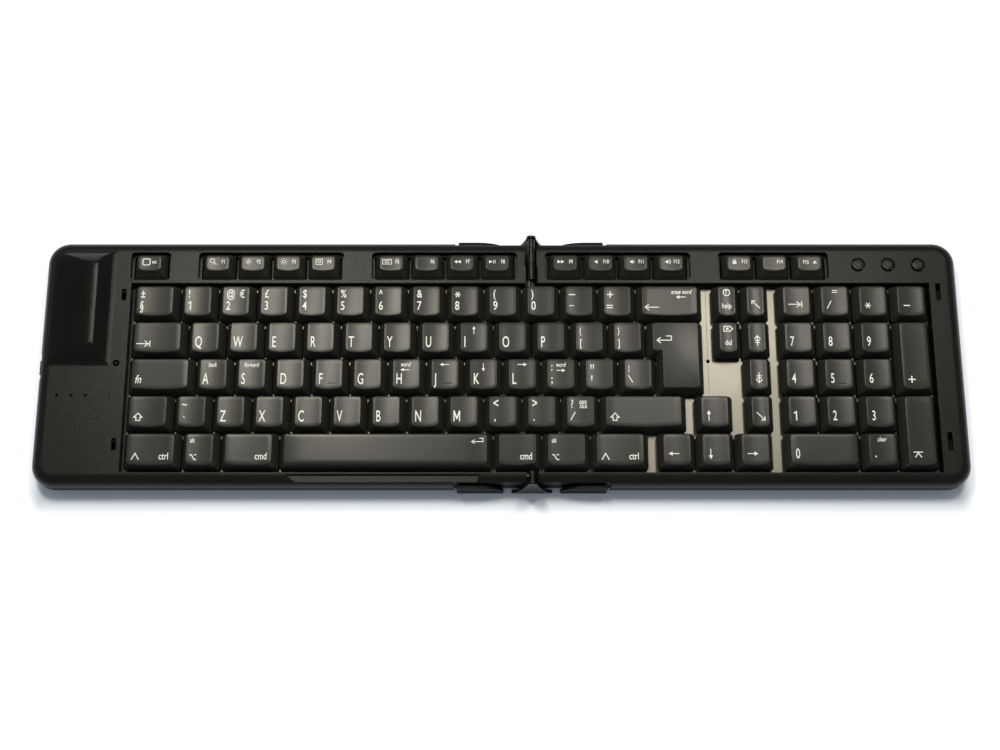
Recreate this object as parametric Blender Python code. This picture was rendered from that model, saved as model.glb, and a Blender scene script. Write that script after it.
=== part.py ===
"""Full-size folding keyboard, opened flat: two clamshell halves on one hinge line.

All sizes below are in millimetres and become metres when a mesh is made.
X runs to the right, Y to the back and Z up. The origin is under the middle of the
opened keyboard, on the surface it stands on.
"""
import math

import bmesh
import bpy
from mathutils import Matrix, Vector

MM = 0.001

# Case around the keys; its overall size follows from the key field further down
BUMP_FIELD_GAP = 9.0
RIGHT_RIM = 14.7525
FRONT_RIM = 6.5
MID_BAR = 1.575
BACK_RIM = 6.275
CORNER_R = 11.0
EDGE_R = 6.0
WALL = 1.8
END_WALL = 0.8
FLOOR = 1.6
GAP = 0.3

# Heights above the desk
CASE_BOTTOM = 1.0
PARTING_Z = 7.8
DECK_Z = 15.6
PLATE_TOP = 9.0
PLATE_THICK = 0.8
KEY_TOP_Z = 18.7
SKIRT_Z = 12.3
HINGE_Z = 19.2
BUMP_TOP_Z = 21.4

# Key field
PITCH = 19.05
KEY_TRAVEL = 3.0
KEY_GAP = 0.65
HINGE_UNIT = 10.5
ROWS = 5
FIELD_MARGIN = 1.5
BLOCK_RIGHT_UNIT = 20.95
TOP_SHRINK_X = 5.67
TOP_SHRINK_Y = 4.4
TOP_SHIFT_Y = 0.5
DISH = 0.7
CAP_WALL = 1.2
CAP_CEILING = 2.2
STEM = 6.4
STEM_WALL = 0.7
STEM_HOLE = STEM + 2.0 * GAP
STEM_BOTTOM_Z = 7.9
GUIDE_POST = 4.0

# Function key row
F_PITCH = 17.75
F_GROUP_STEP = 34.2
F_BASE_W = 16.4
F_BASE_D = 14.0
F_TOP_W = 11.8
F_TOP_D = 7.2
F_TOP_SHIFT_Y = 0.75
POCKET_MARGIN_X = 1.95
POCKET_D = 14.85
POCKET_R = 2.2

# Battery cells and the width of their housing
CELL_R = 7.25
CELL_LENGTH = 50.5
CELL_SPACE = 0.1
CELL_LEFT_ROOM = 9.4
CELL_RIGHT_ROOM = 3.55
CELL_PITCH = 2.0 * CELL_R + CELL_SPACE
BUMP_WIDTH = CELL_LEFT_ROOM + CELL_PITCH + CELL_R + CELL_RIGHT_ROOM

# Overall size and the key field's limits, in distances from the hinge line and the case's middle
CAP_HALF = (PITCH - KEY_GAP) / 2.0
FIELD_DEPTH = ROWS * PITCH - KEY_GAP + 2.0 * FIELD_MARGIN
FIELD_LEFT = -HINGE_UNIT * PITCH + KEY_GAP / 2.0 - FIELD_MARGIN
FIELD_RIGHT = (BLOCK_RIGHT_UNIT - HINGE_UNIT) * PITCH - KEY_GAP / 2.0 + FIELD_MARGIN
LEFT_REACH = BUMP_WIDTH + BUMP_FIELD_GAP - FIELD_LEFT
RIGHT_REACH = RIGHT_RIM + FIELD_RIGHT
HINGE_X = (LEFT_REACH - RIGHT_REACH) / 2.0
CASE_DEPTH = FRONT_RIM + FIELD_DEPTH + MID_BAR + POCKET_D + BACK_RIM
HALF_DEPTH = CASE_DEPTH / 2.0
FIELD_FRONT = FRONT_RIM - HALF_DEPTH
FIELD_BACK = FIELD_FRONT + FIELD_DEPTH
ROW_0_Y = FIELD_BACK - FIELD_MARGIN - CAP_HALF
F_ROW_Y = HALF_DEPTH - BACK_RIM - POCKET_D / 2.0

# Switch stack under the caps
MEMBRANE_Z = 2.9
MEMBRANE_THICK = 0.3
SHEET_Z = 3.5
SHEET_THICK = 0.5
DOME_TOP_Z = 7.6
DOME_R = 2.2
TAIL_FRONT = FIELD_FRONT + 24.9
TAIL_W = 12.0

# Round buttons on the right
BUTTON_R = 3.0
BUTTON_HOLE_R = 3.65
BUTTON_PITCH = 15.1
BUTTON_FIRST_X = 1.5 * F_GROUP_STEP + 5.0 * F_PITCH + 25.05
BUTTON_Y = F_ROW_Y + 0.7
BUTTON_TRAVEL = 0.8
BUTTON_FLANGE_R = 4.3

# Hinge
KNUCKLE_R = 1.7
PIN_R = 0.8
PIN_CLEAR = 0.15
DECK_END = 2.7
CASE_END = 0.4
REAR_SPLIT_Y = HALF_DEPTH - 13.55
FRONT_SPLIT_Y = FIELD_FRONT - 3.35
END_PLATE_THICK = 1.5
END_PLATE_FACE = HALF_DEPTH + 0.7
END_PLATE_FOOT = 10.0
SIDE_PLATE_NEAR = 14.0
SIDE_PLATE_FAR = 36.8
SIDE_PLATE_H = 11.5
RECESS_REACH = 38.4
RECESS_FACE = HALF_DEPTH - 1.8

# Battery compartment
CELL_FRONT_ROOM = 4.3
CELL_BACK_ROOM = 3.8
CELL_FLOOR = 2.7
BUMP_SLOPE_RIGHT = 7.1
BUMP_SLOPE_FRONT = 8.8
BUMP_SLOPE_BACK = 6.8
BUMP_RIDGE = 8.8
BUMP_CROWN = 3.0
BUMP_WALL = 1.2
BUMP_CORNER_R = 6.0
BUMP_EDGE_R = 0.8
BUMP_LIFTS = (-1.0, 0.0, 0.3, 0.62, 0.86, 0.97, 1.0)
BUMP_RIGHT = BUMP_WIDTH - LEFT_REACH
BUMP_BACK = HALF_DEPTH - EDGE_R - 0.6
BUMP_FRONT = BUMP_BACK - CELL_BACK_ROOM - CELL_LENGTH - CELL_FRONT_ROOM
CELL_FRONT = BUMP_FRONT + CELL_FRONT_ROOM
CELL_X = (CELL_LEFT_ROOM - LEFT_REACH, CELL_LEFT_ROOM + CELL_PITCH - LEFT_REACH)
DOOR_RIGHT = CELL_X[1] + CELL_R + 0.75
BOARD_RIGHT = DOOR_RIGHT + 0.5

# Latch
LATCH_RIM = 3.3
LATCH_X = LATCH_RIM - FIELD_LEFT
SLOT_W = 2.4
CATCH_SLOT_L = 6.1
HOOK_SLOT_L = 9.0
SLOT_FRONTS = (ROW_0_Y + 1.5, FIELD_FRONT + 11.1)
HOOK_THICK = 1.8
HOOK_WIDTH = 3.5
HOOK_NOSE = 1.5
HOOK_NOSE_THICK = 0.6
HOOK_TRAVEL = 9.8
LATCH_TRAVEL = 2.0
LATCH_SKIN = 0.7
BAR_Z = 4.8
BAR_THICK = 1.8
TAB_MID_Y = BUMP_FRONT - 0.8
TAB_L = 7.7
TAB_RECESS_L = 14.4
TAB_RECESS_DEPTH = 1.2
TAB_RECESS_SLOPE = 1.2

# Small things on the left deck
LED_Y = TAB_MID_Y - 15.4
LED_X = tuple(room - LEFT_REACH for room in (10.8, 17.9, 24.9, 36.4))
LED_R = 0.6
CONNECT_X = FIELD_LEFT - 4.9
CONNECT_Y = BUMP_FRONT + 0.4
CONNECT_R = 1.45
CONNECT_TRAVEL = 0.8

# Feet and screws
FOOT_R = 4.5
FOOT_SINK = 0.2
SCREW_HEAD_R = 2.1
BOSS_R = 2.4

FIELD_SKIRT = 1.2
SHOULDER_Z = DECK_Z - EDGE_R
LOWER_TOP = PARTING_Z
UPPER_BOTTOM = PARTING_Z + GAP
FLOOR_TOP = CASE_BOTTOM + FLOOR
PLATE_BOTTOM = PLATE_TOP - PLATE_THICK
DECK_UNDER = DECK_Z - WALL
PLATE_MARGIN = FIELD_SKIRT + GAP
PLATE_BACK = F_ROW_Y + POCKET_D / 2.0 + FIELD_SKIRT
PLATE_FRONT = FIELD_FRONT - FIELD_SKIRT / 2.0
PLATE_SEAM_X = 4.635 * PITCH
PLATE_HOLE_Y = ROW_0_Y - 1.5 * PITCH
LATCH_MID_X = -LATCH_X

# Plate supports in key units from the hinge line and rows from the number row
SUPPORT_POSTS = {
    "left": [(-7.875, 0.5), (-4.725, 0.5), (-1.575, 0.5), (-7.875, 2.5), (-4.725, 2.5), (-1.575, 2.5)],
    "right": [(2.1, 0.5), (PLATE_SEAM_X / PITCH, 1.5), (8.4, 0.5), (2.1, 2.5), (6.43, 2.5), (8.4, 2.5)],
}
F_GROUP_GAP = F_GROUP_STEP + 3.0 * F_PITCH
DECK_SCREWS = {
    "left": [(-2.0 * F_GROUP_GAP, F_ROW_Y), (-F_GROUP_GAP, F_ROW_Y)],
    "right": [(F_GROUP_GAP, F_ROW_Y), (BUTTON_FIRST_X - 8.6, F_ROW_Y)],
}
EDGE_SCREWS = {
    "left": [
        (9.0 - LEFT_REACH, 9.4 - HALF_DEPTH),
        (FIELD_LEFT - 5.2, HALF_DEPTH - 11.0),
        (FIELD_LEFT - 5.2, 10.0 - HALF_DEPTH),
    ],
    "right": [(RIGHT_REACH - 6.7, HALF_DEPTH - 10.4), (RIGHT_REACH - 6.7, 10.4 - HALF_DEPTH)],
}
FOOT_EDGE = 13.4
FEET = {
    "left": {
        "left_front_foot": (19.0 - LEFT_REACH, FOOT_EDGE - HALF_DEPTH),
        "left_rear_foot": (FIELD_LEFT + 3.2, HALF_DEPTH - FOOT_EDGE),
    },
    "right": {
        "right_front_foot": (RIGHT_REACH - 17.0, FOOT_EDGE - HALF_DEPTH),
        "right_rear_foot": (RIGHT_REACH - 17.0, HALF_DEPTH - FOOT_EDGE),
    },
}


def clear_scene():
    for item in list(bpy.data.objects):
        bpy.data.objects.remove(item, do_unlink=True)


def plain_material(name, colour, roughness, metallic=0.0):
    """One Principled material for one piece."""
    material = bpy.data.materials.new(name)
    material.use_nodes = True
    shader = material.node_tree.nodes["Principled BSDF"]
    shader.inputs["Base Color"].default_value = (*colour, 1.0)
    shader.inputs["Roughness"].default_value = roughness
    shader.inputs["Metallic"].default_value = metallic
    material.diffuse_color = (*colour, 1.0)
    return material


CASE_BLACK = ((0.040, 0.038, 0.033), 0.55)
KEY_BLACK = ((0.060, 0.058, 0.052), 0.45)
SATIN_PLATE = ((0.42, 0.39, 0.33), 0.42, 0.6)
STEEL = ((0.60, 0.60, 0.58), 0.30, 1.0)
RUBBER = ((0.020, 0.020, 0.020), 0.85)
DOME_RUBBER = ((0.55, 0.55, 0.52), 0.60)
CLEAR_FILM = ((0.70, 0.68, 0.55), 0.35)
BOARD_GREEN = ((0.03, 0.16, 0.07), 0.50)
CELL_SLEEVE = ((0.25, 0.27, 0.30), 0.35, 0.5)


def hinge_side(x):
    """Distances from the hinge line become part coordinates."""
    return x + HINGE_X


def add_loft(bm, rings):
    """A closed body through rings of equal length, listed from one end to the other."""
    layers = []
    for ring in rings:
        layers.append([bm.verts.new(point) for point in ring])
    count = len(layers[0])
    for low, high in zip(layers, layers[1:]):
        for i in range(count):
            j = (i + 1) % count
            bm.faces.new((low[i], low[j], high[j], high[i]))
    bm.faces.new(list(reversed(layers[0])))
    bm.faces.new(layers[-1])


def add_prism(bm, outline, z0, z1):
    """An outline in X and Y, raised from z0 to z1."""
    add_loft(bm, [[(x, y, z0) for x, y in outline], [(x, y, z1) for x, y in outline]])


def add_prism_y(bm, outline, y0, y1):
    """An outline in X and Z, drawn along Y."""
    add_loft(bm, [[(x, y1, z) for x, z in outline], [(x, y0, z) for x, z in outline]])


def add_box(bm, x0, x1, y0, y1, z0, z1):
    add_prism(bm, [(x0, y0), (x1, y0), (x1, y1), (x0, y1)], z0, z1)


def circle(x, y, radius, sides):
    turn = 2.0 * math.pi / sides
    return [(x + radius * math.cos(turn * i), y + radius * math.sin(turn * i)) for i in range(sides)]


def add_post(bm, x, y, z0, z1, radius, sides=12):
    add_prism(bm, circle(x, y, radius, sides), z0, z1)


def add_rod_y(bm, x, z, y0, y1, radius, sides=12):
    add_prism_y(bm, circle(x, z, radius, sides), y0, y1)


def rounded_outline(x0, x1, y0, y1, radii, segments=4):
    """Corners in the order front left, front right, back right, back left; radius 0 stays sharp."""
    corners = [
        (x0, y0, 1, 1, 180.0),
        (x1, y0, -1, 1, 270.0),
        (x1, y1, -1, -1, 0.0),
        (x0, y1, 1, -1, 90.0),
    ]
    points = []
    for (cx, cy, sx, sy, start), radius in zip(corners, radii):
        if radius <= 0.0:
            points.append((cx, cy))
            continue
        for i in range(segments + 1):
            angle = math.radians(start + 90.0 * i / segments)
            points.append((cx + sx * radius + radius * math.cos(angle), cy + sy * radius + radius * math.sin(angle)))
    return points


def new_piece(name, bm, look, parent=None, origin=(0.0, 0.0, 0.0), smooth=True):
    """Turn a body drawn in part coordinates into an object whose origin is where it moves."""
    bmesh.ops.recalc_face_normals(bm, faces=bm.faces)
    bmesh.ops.transform(bm, matrix=Matrix.Translation(-Vector(origin)), verts=bm.verts)
    bmesh.ops.transform(bm, matrix=Matrix.Scale(MM, 4), verts=bm.verts)
    mesh = bpy.data.meshes.new(name)
    bm.to_mesh(mesh)
    bm.free()
    if smooth:
        mesh.shade_smooth()
        mesh.set_sharp_from_angle(angle=math.radians(35.0))
    mesh.materials.append(plain_material(name, *look))
    piece = bpy.data.objects.new(name, mesh)
    bpy.context.scene.collection.objects.link(piece)
    place = Vector(origin) * MM
    if parent is not None:
        piece.parent = parent
        place = place - parent.location
    piece.location = place
    return piece


def new_tool(target, bm, operation):
    """Cut the target with, or join to it, the bodies in bm."""
    bmesh.ops.recalc_face_normals(bm, faces=bm.faces)
    bmesh.ops.transform(bm, matrix=Matrix.Scale(MM, 4), verts=bm.verts)
    name = f"{target.name}_{operation.lower()}_{len(target.modifiers)}"
    mesh = bpy.data.meshes.new(name)
    bm.to_mesh(mesh)
    bm.free()
    tool = bpy.data.objects.new(name, mesh)
    tool.hide_render = True
    tool.display_type = "WIRE"
    bpy.context.scene.collection.objects.link(tool)
    modifier = target.modifiers.new(name, "BOOLEAN")
    modifier.operation = operation
    modifier.solver = "EXACT"
    modifier.object = tool


def new_empty(name, x, y, z, parent=None):
    empty = bpy.data.objects.new(name, None)
    empty.location = (x * MM, y * MM, z * MM)
    empty.parent = parent
    bpy.context.scene.collection.objects.link(empty)
    return empty


# Keys

def row_y(row):
    return ROW_0_Y - row * PITCH


def unit_x(unit):
    return hinge_side((unit - HINGE_UNIT) * PITCH)


def main_key(row, left, right, rows=1, dish=DISH):
    """A cap of the main block from its cell: left and right in key units."""
    width = (right - left) * PITCH
    depth = rows * PITCH
    return {
        "x": unit_x((left + right) / 2.0),
        "y": row_y(row) - (rows - 1) * PITCH / 2.0,
        "base": (width - KEY_GAP, depth - KEY_GAP),
        "top": (width - TOP_SHRINK_X, depth - TOP_SHRINK_Y),
        "shift": TOP_SHIFT_Y,
        "dish": dish if rows == 1 and right - left < 1.6 else dish / 2.0,
    }


def run_of_keys(row, first, count):
    return [main_key(row, first + i, first + i + 1) for i in range(count)]


def f_key_centres(side):
    """Function keys in groups, mirrored about the hinge line; the left side ends in one single key."""
    group_sizes = (4, 4, 1) if side == "left" else (4, 3)
    sign = -1.0 if side == "left" else 1.0
    distance = F_GROUP_STEP / 2.0
    groups = []
    for size in group_sizes:
        groups.append([hinge_side(sign * (distance + i * F_PITCH)) for i in range(size)])
        distance += (size - 1) * F_PITCH + F_GROUP_STEP
    return groups


def f_keys(side):
    keys = []
    for group in f_key_centres(side):
        for x in group:
            keys.append({
                "x": x,
                "y": F_ROW_Y,
                "base": (F_BASE_W, F_BASE_D),
                "top": (F_TOP_W, F_TOP_D),
                "shift": F_TOP_SHIFT_Y,
                "dish": DISH / 2.0,
            })
    return keys


def number_pad_keys():
    first = BLOCK_RIGHT_UNIT - 4.0
    keys = run_of_keys(0, first, 4)
    for row in (1, 2, 3):
        keys += run_of_keys(row, first, 3)
    keys.append(main_key(4, first, first + 2.0))
    keys.append(main_key(4, first + 2.0, first + 3.0))
    keys.append(main_key(1, first + 3.0, first + 4.0, rows=2))
    keys.append(main_key(3, first + 3.0, first + 4.0, rows=2))
    return keys


def page_keys():
    keys = []
    for row in (0, 1):
        keys.append(main_key(row, 15.25, 16.0))
    for row in (0, 1, 2, 3):
        keys.append(main_key(row, 16.0, 16.75))
    return keys


LETTERS = {
    "left": [(1, 1.5, "qwertyuio"), (2, 1.75, "asdfghjkl"), (3, 2.25, "zxcvbnm")],
    "right": [(1, 10.5, "p")],
}
SPACE_LEFT = 4.0
SPACE_RIGHT = 9.5
SPACE_POSTS = (-2.0 * PITCH, 2.0 * PITCH)


def travelling_keys(side):
    """The keys that move on their own: letters, and the space bar or the backspace key."""
    keys = {}
    for row, first, letters in LETTERS[side]:
        for letter, key in zip(letters, run_of_keys(row, first, len(letters))):
            keys[f"key_{letter}"] = key
    if side == "left":
        keys["space_bar"] = main_key(4, SPACE_LEFT, SPACE_RIGHT, dish=0.0)
    else:
        keys["backspace_key"] = main_key(0, 13.25, 15.0)
    return keys


def pad_keys(side):
    """The keys that stay fused to the rubber sheet that carries them."""
    if side == "left":
        return (
            f_keys("left")
            + [main_key(0, 0.0, 1.25)]
            + run_of_keys(0, 1.25, 9)
            + [main_key(1, 0.0, 1.5), main_key(2, 0.0, 1.75), main_key(3, 0.0, 1.25)]
            + run_of_keys(3, 1.25, 1)
            + run_of_keys(3, 9.25, 1)
            + [main_key(4, 0.0, 1.5), main_key(4, 1.5, 2.5), main_key(4, 2.5, 4.0), main_key(4, 9.5, 10.75)]
        )
    return (
        f_keys("right")
        + run_of_keys(0, 10.25, 3)
        + run_of_keys(1, 11.5, 2)
        + run_of_keys(2, 10.75, 3)
        + run_of_keys(3, 10.25, 2)
        + [main_key(3, 12.25, 14.5), main_key(4, 10.75, 12.0), main_key(4, 12.0, 13.5)]
        + page_keys()
        + [main_key(3, 14.7, 15.7)]
        + run_of_keys(4, 13.7, 3)
        + number_pad_keys()
    )


RETURN_LEFT = 13.5
RETURN_STEP = 13.75
RETURN_RIGHT = 15.0


def return_stem():
    return unit_x((RETURN_STEP + RETURN_RIGHT) / 2.0), (row_y(1) + row_y(2)) / 2.0


def rectangle(x, y, width, depth):
    w = width / 2.0
    d = depth / 2.0
    return [(x - w, y - d), (x + w, y - d), (x + w, y + d), (x - w, y + d)]


def add_cap(bm, key, rooted=False):
    """A sculpted cap with sloping skirts and a top hollowed across its width.

    A cap that travels is hollow with a square stem tube, and a rooted one is solid on a solid stem.
    """
    x = key["x"]
    y = key["y"]
    base_w, base_d = key["base"]
    top_w, top_d = key["top"]
    top_y = y + key["shift"]
    base = rectangle(x, y, base_w, base_d)
    strips = 4
    front_y = top_y - top_d / 2.0
    back_y = top_y + top_d / 2.0
    height = KEY_TOP_Z - SKIRT_Z
    front_slope = (front_y - base[0][1]) / height
    back_slope = (base[2][1] - back_y) / height
    front = []
    back = []
    for i in range(strips + 1):
        across = 2.0 * i / strips - 1.0
        drop = key["dish"] * (1.0 - across * across)
        px = x + across * top_w / 2.0
        front.append(bm.verts.new((px, front_y - front_slope * drop, KEY_TOP_Z - drop)))
        back.append(bm.verts.new((px, back_y + back_slope * drop, KEY_TOP_Z - drop)))
    skirt = [bm.verts.new((px, py, SKIRT_Z)) for px, py in base]
    for i in range(strips):
        bm.faces.new((front[i], front[i + 1], back[i + 1], back[i]))
    bm.faces.new([skirt[0], skirt[1]] + list(reversed(front)))
    bm.faces.new([skirt[2], skirt[3]] + back)
    bm.faces.new((skirt[1], skirt[2], back[-1], front[-1]))
    bm.faces.new((skirt[3], skirt[0], front[0], back[0]))
    ceiling_z = KEY_TOP_Z - CAP_CEILING
    rings = [
        (rectangle(x, y, STEM, STEM), SKIRT_Z),
        (rectangle(x, y, STEM, STEM), SHEET_Z + SHEET_THICK / 2.0),
    ] if rooted else [
        (rectangle(x, y, base_w - 2.0 * CAP_WALL, base_d - 2.0 * CAP_WALL), SKIRT_Z),
        (rectangle(x, top_y, top_w, top_d), ceiling_z),
        (rectangle(x, y, STEM, STEM), ceiling_z),
        (rectangle(x, y, STEM, STEM), STEM_BOTTOM_Z),
        (rectangle(x, y, STEM - 2.0 * STEM_WALL, STEM - 2.0 * STEM_WALL), STEM_BOTTOM_Z),
        (rectangle(x, y, STEM - 2.0 * STEM_WALL, STEM - 2.0 * STEM_WALL), DOME_TOP_Z + KEY_TRAVEL + GAP),
    ]
    previous = skirt
    for outline, z in rings:
        ring = [bm.verts.new((px, py, z)) for px, py in outline]
        for i in range(4):
            j = (i + 1) % 4
            bm.faces.new((previous[j], previous[i], ring[i], ring[j]))
        previous = ring
    bm.faces.new(list(reversed(previous)))


def add_stem(bm, x, y, top_z):
    """The stem tube alone, for caps that are not rectangles."""
    outer = rectangle(x, y, STEM, STEM)
    inner = rectangle(x, y, STEM - 2.0 * STEM_WALL, STEM - 2.0 * STEM_WALL)
    rings = [(outer, top_z), (outer, STEM_BOTTOM_Z), (inner, STEM_BOTTOM_Z), (inner, DOME_TOP_Z + KEY_TRAVEL + GAP)]
    add_loft(bm, [[(px, py, z) for px, py in outline] for outline, z in rings])


def inset_step_outline(inset_x, inset_front, inset_back):
    """The six corners of the return key's cell, drawn in from its edges."""
    left = unit_x(RETURN_LEFT) + inset_x
    step = unit_x(RETURN_STEP) + inset_x
    right = unit_x(RETURN_RIGHT) - inset_x
    front = row_y(2) - PITCH / 2.0 + inset_front
    shelf = row_y(1) - PITCH / 2.0 + inset_front
    back = row_y(1) + PITCH / 2.0 - inset_back
    return [(step, front), (right, front), (right, back), (left, back), (left, shelf), (step, shelf)]


def make_return_key(parent):
    """The tall stepped return key that spans two rows."""
    half_gap = KEY_GAP / 2.0
    top_front = TOP_SHRINK_Y / 2.0 + TOP_SHIFT_Y
    top_back = TOP_SHRINK_Y / 2.0 - TOP_SHIFT_Y
    side = TOP_SHRINK_X / 2.0
    wall = half_gap + CAP_WALL
    outlines = [
        (inset_step_outline(side, top_front, top_back), KEY_TOP_Z),
        (inset_step_outline(half_gap, half_gap, half_gap), SKIRT_Z),
        (inset_step_outline(wall, wall, wall), SKIRT_Z),
        (inset_step_outline(side, top_front, top_back), KEY_TOP_Z - CAP_CEILING),
    ]
    bm = bmesh.new()
    add_loft(bm, [[(x, y, z) for x, y in outline] for outline, z in outlines])
    stem_x, stem_y = return_stem()
    piece = new_piece("return_key", bm, KEY_BLACK, parent, (stem_x, stem_y, SKIRT_Z))
    stem = bmesh.new()
    add_stem(stem, stem_x, stem_y, KEY_TOP_Z - CAP_CEILING / 2.0)
    new_tool(piece, stem, "UNION")


def make_travelling_key(name, key, parent):
    bm = bmesh.new()
    add_cap(bm, key)
    piece = new_piece(name, bm, KEY_BLACK, parent, (key["x"], key["y"], SKIRT_Z))
    if name == "space_bar":
        posts = bmesh.new()
        for dx in SPACE_POSTS:
            outline = rectangle(key["x"] + dx, key["y"], GUIDE_POST, GUIDE_POST)
            add_prism(posts, outline, STEM_BOTTOM_Z, KEY_TOP_Z - CAP_CEILING / 2.0)
        new_tool(piece, posts, "UNION")


def travelling_stems(side):
    """Where the keys that travel have their stems."""
    places = [(key["x"], key["y"]) for key in travelling_keys(side).values()]
    if side == "right":
        places.append(return_stem())
    return places


# Case

def half_limits(side, end):
    """X limits of one half in part coordinates, its hinge end cut off at a distance from the hinge line."""
    if side == "left":
        return hinge_side(-LEFT_REACH), hinge_side(-end)
    return hinge_side(end), hinge_side(RIGHT_REACH)


def case_ring(side, end, inset, z, end_inset=0.0):
    """One level of a half's outline, rounded at its two outer corners and square at the hinge."""
    x0, x1 = half_limits(side, end)
    radius = max(CORNER_R - inset, 0.6)
    y = HALF_DEPTH - inset
    if side == "left":
        outline = rounded_outline(x0 + inset, x1 - end_inset, -y, y, (radius, 0.0, 0.0, radius))
    else:
        outline = rounded_outline(x0 + end_inset, x1 - inset, -y, y, (0.0, radius, radius, 0.0))
    return [(px, py, z) for px, py in outline]


def upper_rings(side, inset, radius, bottom, end_inset):
    """The upper casing's side and rounded shoulder, or the hollow inside it."""
    rings = [case_ring(side, DECK_END, inset, bottom, end_inset)]
    steps = 4
    for i in range(steps + 1):
        angle = math.radians(90.0 * i / steps)
        drawn_in = inset + radius * (1.0 - math.cos(angle))
        rings.append(case_ring(side, DECK_END, drawn_in, SHOULDER_Z + radius * math.sin(angle), end_inset))
    return rings


def lower_rings(side, inset, floor_z, top_z, end_inset):
    """The lower casing's turned-in bottom edge and side, or the hollow inside it."""
    profile = [(3.2, 0.0), (1.3, 0.9), (0.3, 2.4), (0.0, 4.2)]
    rings = []
    for drawn_in, rise in profile:
        rings.append(case_ring(side, CASE_END, inset + drawn_in, floor_z + rise, end_inset))
    rings.append(case_ring(side, CASE_END, inset, top_z, end_inset))
    return rings


def bump_rings(wall, bottom):
    """The raised battery housing at the left rear; wall draws it in for the hollow.

    It has flat slopes in front, behind and on the right, and a crowned back over the cells
    that curves down into the case's left side.
    """
    edge = hinge_side(-LEFT_REACH) + 0.2
    ridge = hinge_side(BUMP_RIGHT - BUMP_RIDGE)
    rings = []
    for lift in BUMP_LIFTS:
        z = DECK_Z + (BUMP_TOP_Z - DECK_Z) * max(lift, 0.0)
        rise = (z - SHOULDER_Z) / (BUMP_TOP_Z - SHOULDER_Z) if lift >= 0.0 else 0.0
        reach = (1.0 - rise ** BUMP_CROWN) ** (1.0 / BUMP_CROWN)
        slope = max(lift, 0.0) ** 1.2
        end_slope = max(lift, 0.0) ** 1.6
        outline = rounded_outline(
            ridge - reach * (ridge - edge) + wall * reach,
            hinge_side(BUMP_RIGHT) - wall - slope * BUMP_SLOPE_RIGHT,
            BUMP_FRONT + wall + end_slope * BUMP_SLOPE_FRONT,
            BUMP_BACK - wall - end_slope * BUMP_SLOPE_BACK,
            (BUMP_EDGE_R, BUMP_EDGE_R, BUMP_EDGE_R, BUMP_EDGE_R + (BUMP_CORNER_R - wall - BUMP_EDGE_R) * reach),
            segments=3,
        )
        rings.append([(px, py, bottom if lift < 0.0 else z - wall) for px, py in outline])
    return rings


def field_outline(side, grow=0.0):
    """The large key opening of one half; it runs open through the hinge end."""
    end = DECK_END - 2.0
    if side == "left":
        x0 = hinge_side(FIELD_LEFT) - grow
        x1 = hinge_side(-end) if grow == 0.0 else hinge_side(-DECK_END)
    else:
        x0 = hinge_side(end) if grow == 0.0 else hinge_side(DECK_END)
        x1 = hinge_side(FIELD_RIGHT) + grow
    return [(x0, FIELD_FRONT - grow), (x1, FIELD_FRONT - grow), (x1, FIELD_BACK + grow), (x0, FIELD_BACK + grow)]


def pocket_outlines(side, grow=0.0):
    """The rounded pockets that the function keys stand in."""
    outlines = []
    for group in f_key_centres(side):
        x0 = min(group) - F_BASE_W / 2.0 - POCKET_MARGIN_X - grow
        x1 = max(group) + F_BASE_W / 2.0 + POCKET_MARGIN_X + grow
        half = POCKET_D / 2.0 + grow
        radius = POCKET_R + grow
        outlines.append(rounded_outline(x0, x1, F_ROW_Y - half, F_ROW_Y + half, (radius,) * 4, segments=3))
    return outlines


def latch_slots(side):
    """The two slots of one deck as boxes in X and Y."""
    x = hinge_side(LATCH_MID_X if side == "left" else LATCH_X)
    length = CATCH_SLOT_L if side == "left" else HOOK_SLOT_L
    return [(x - SLOT_W / 2.0, x + SLOT_W / 2.0, front, front + length) for front in SLOT_FRONTS]


def knuckle_spans(side):
    """The stretches of hinge barrel that belong to one half, rear and front."""
    half_gap = GAP / 2.0
    outer = END_PLATE_FACE - END_PLATE_THICK - GAP
    if side == "left":
        return [(REAR_SPLIT_Y + half_gap, outer), (-outer, FRONT_SPLIT_Y - half_gap)]
    return [(FIELD_BACK + GAP, REAR_SPLIT_Y - half_gap), (FRONT_SPLIT_Y + half_gap, FIELD_FRONT - GAP)]


def add_knuckles(bm, side):
    """Barrel knuckles with the webs that carry them from the deck's end."""
    sign = -1.0 if side == "left" else 1.0
    root = DECK_END + WALL / 2.0
    web = [
        (0.0, -KNUCKLE_R * 0.9),
        (KNUCKLE_R * 0.75, -KNUCKLE_R * 0.55),
        (root, -3.9),
        (root, -8.2),
        (KNUCKLE_R * 0.5, -5.4),
    ]
    outline = [(hinge_side(sign * x), HINGE_Z + z) for x, z in web]
    for y0, y1 in knuckle_spans(side):
        add_prism_y(bm, outline, y0, y1)


def add_barrels(bm, side):
    for y0, y1 in knuckle_spans(side):
        add_rod_y(bm, HINGE_X, HINGE_Z, y0, y1, KNUCKLE_R, sides=16)


def add_recess_liners(bm, side, z0, z1, end):
    """Inner walls behind the recess that the plates beside the hinge stand in."""
    x0, x1 = half_limits(side, end)
    near, far = (x1 - RECESS_REACH - WALL, x1) if side == "left" else (x0, x0 + RECESS_REACH + WALL)
    for y0, y1 in ((-RECESS_FACE, -RECESS_FACE + WALL), (RECESS_FACE - WALL, RECESS_FACE)):
        add_box(bm, near, far, y0, y1, z0, z1)


def add_recess_cuts(bm, side):
    reach = RECESS_REACH
    x0, x1 = (-reach, 1.0) if side == "left" else (-1.0, reach)
    for y0, y1 in ((-HALF_DEPTH - 1.0, -RECESS_FACE), (RECESS_FACE, HALF_DEPTH + 1.0)):
        add_box(bm, hinge_side(x0), hinge_side(x1), y0, y1, CASE_BOTTOM - 1.0, DECK_Z)


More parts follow.
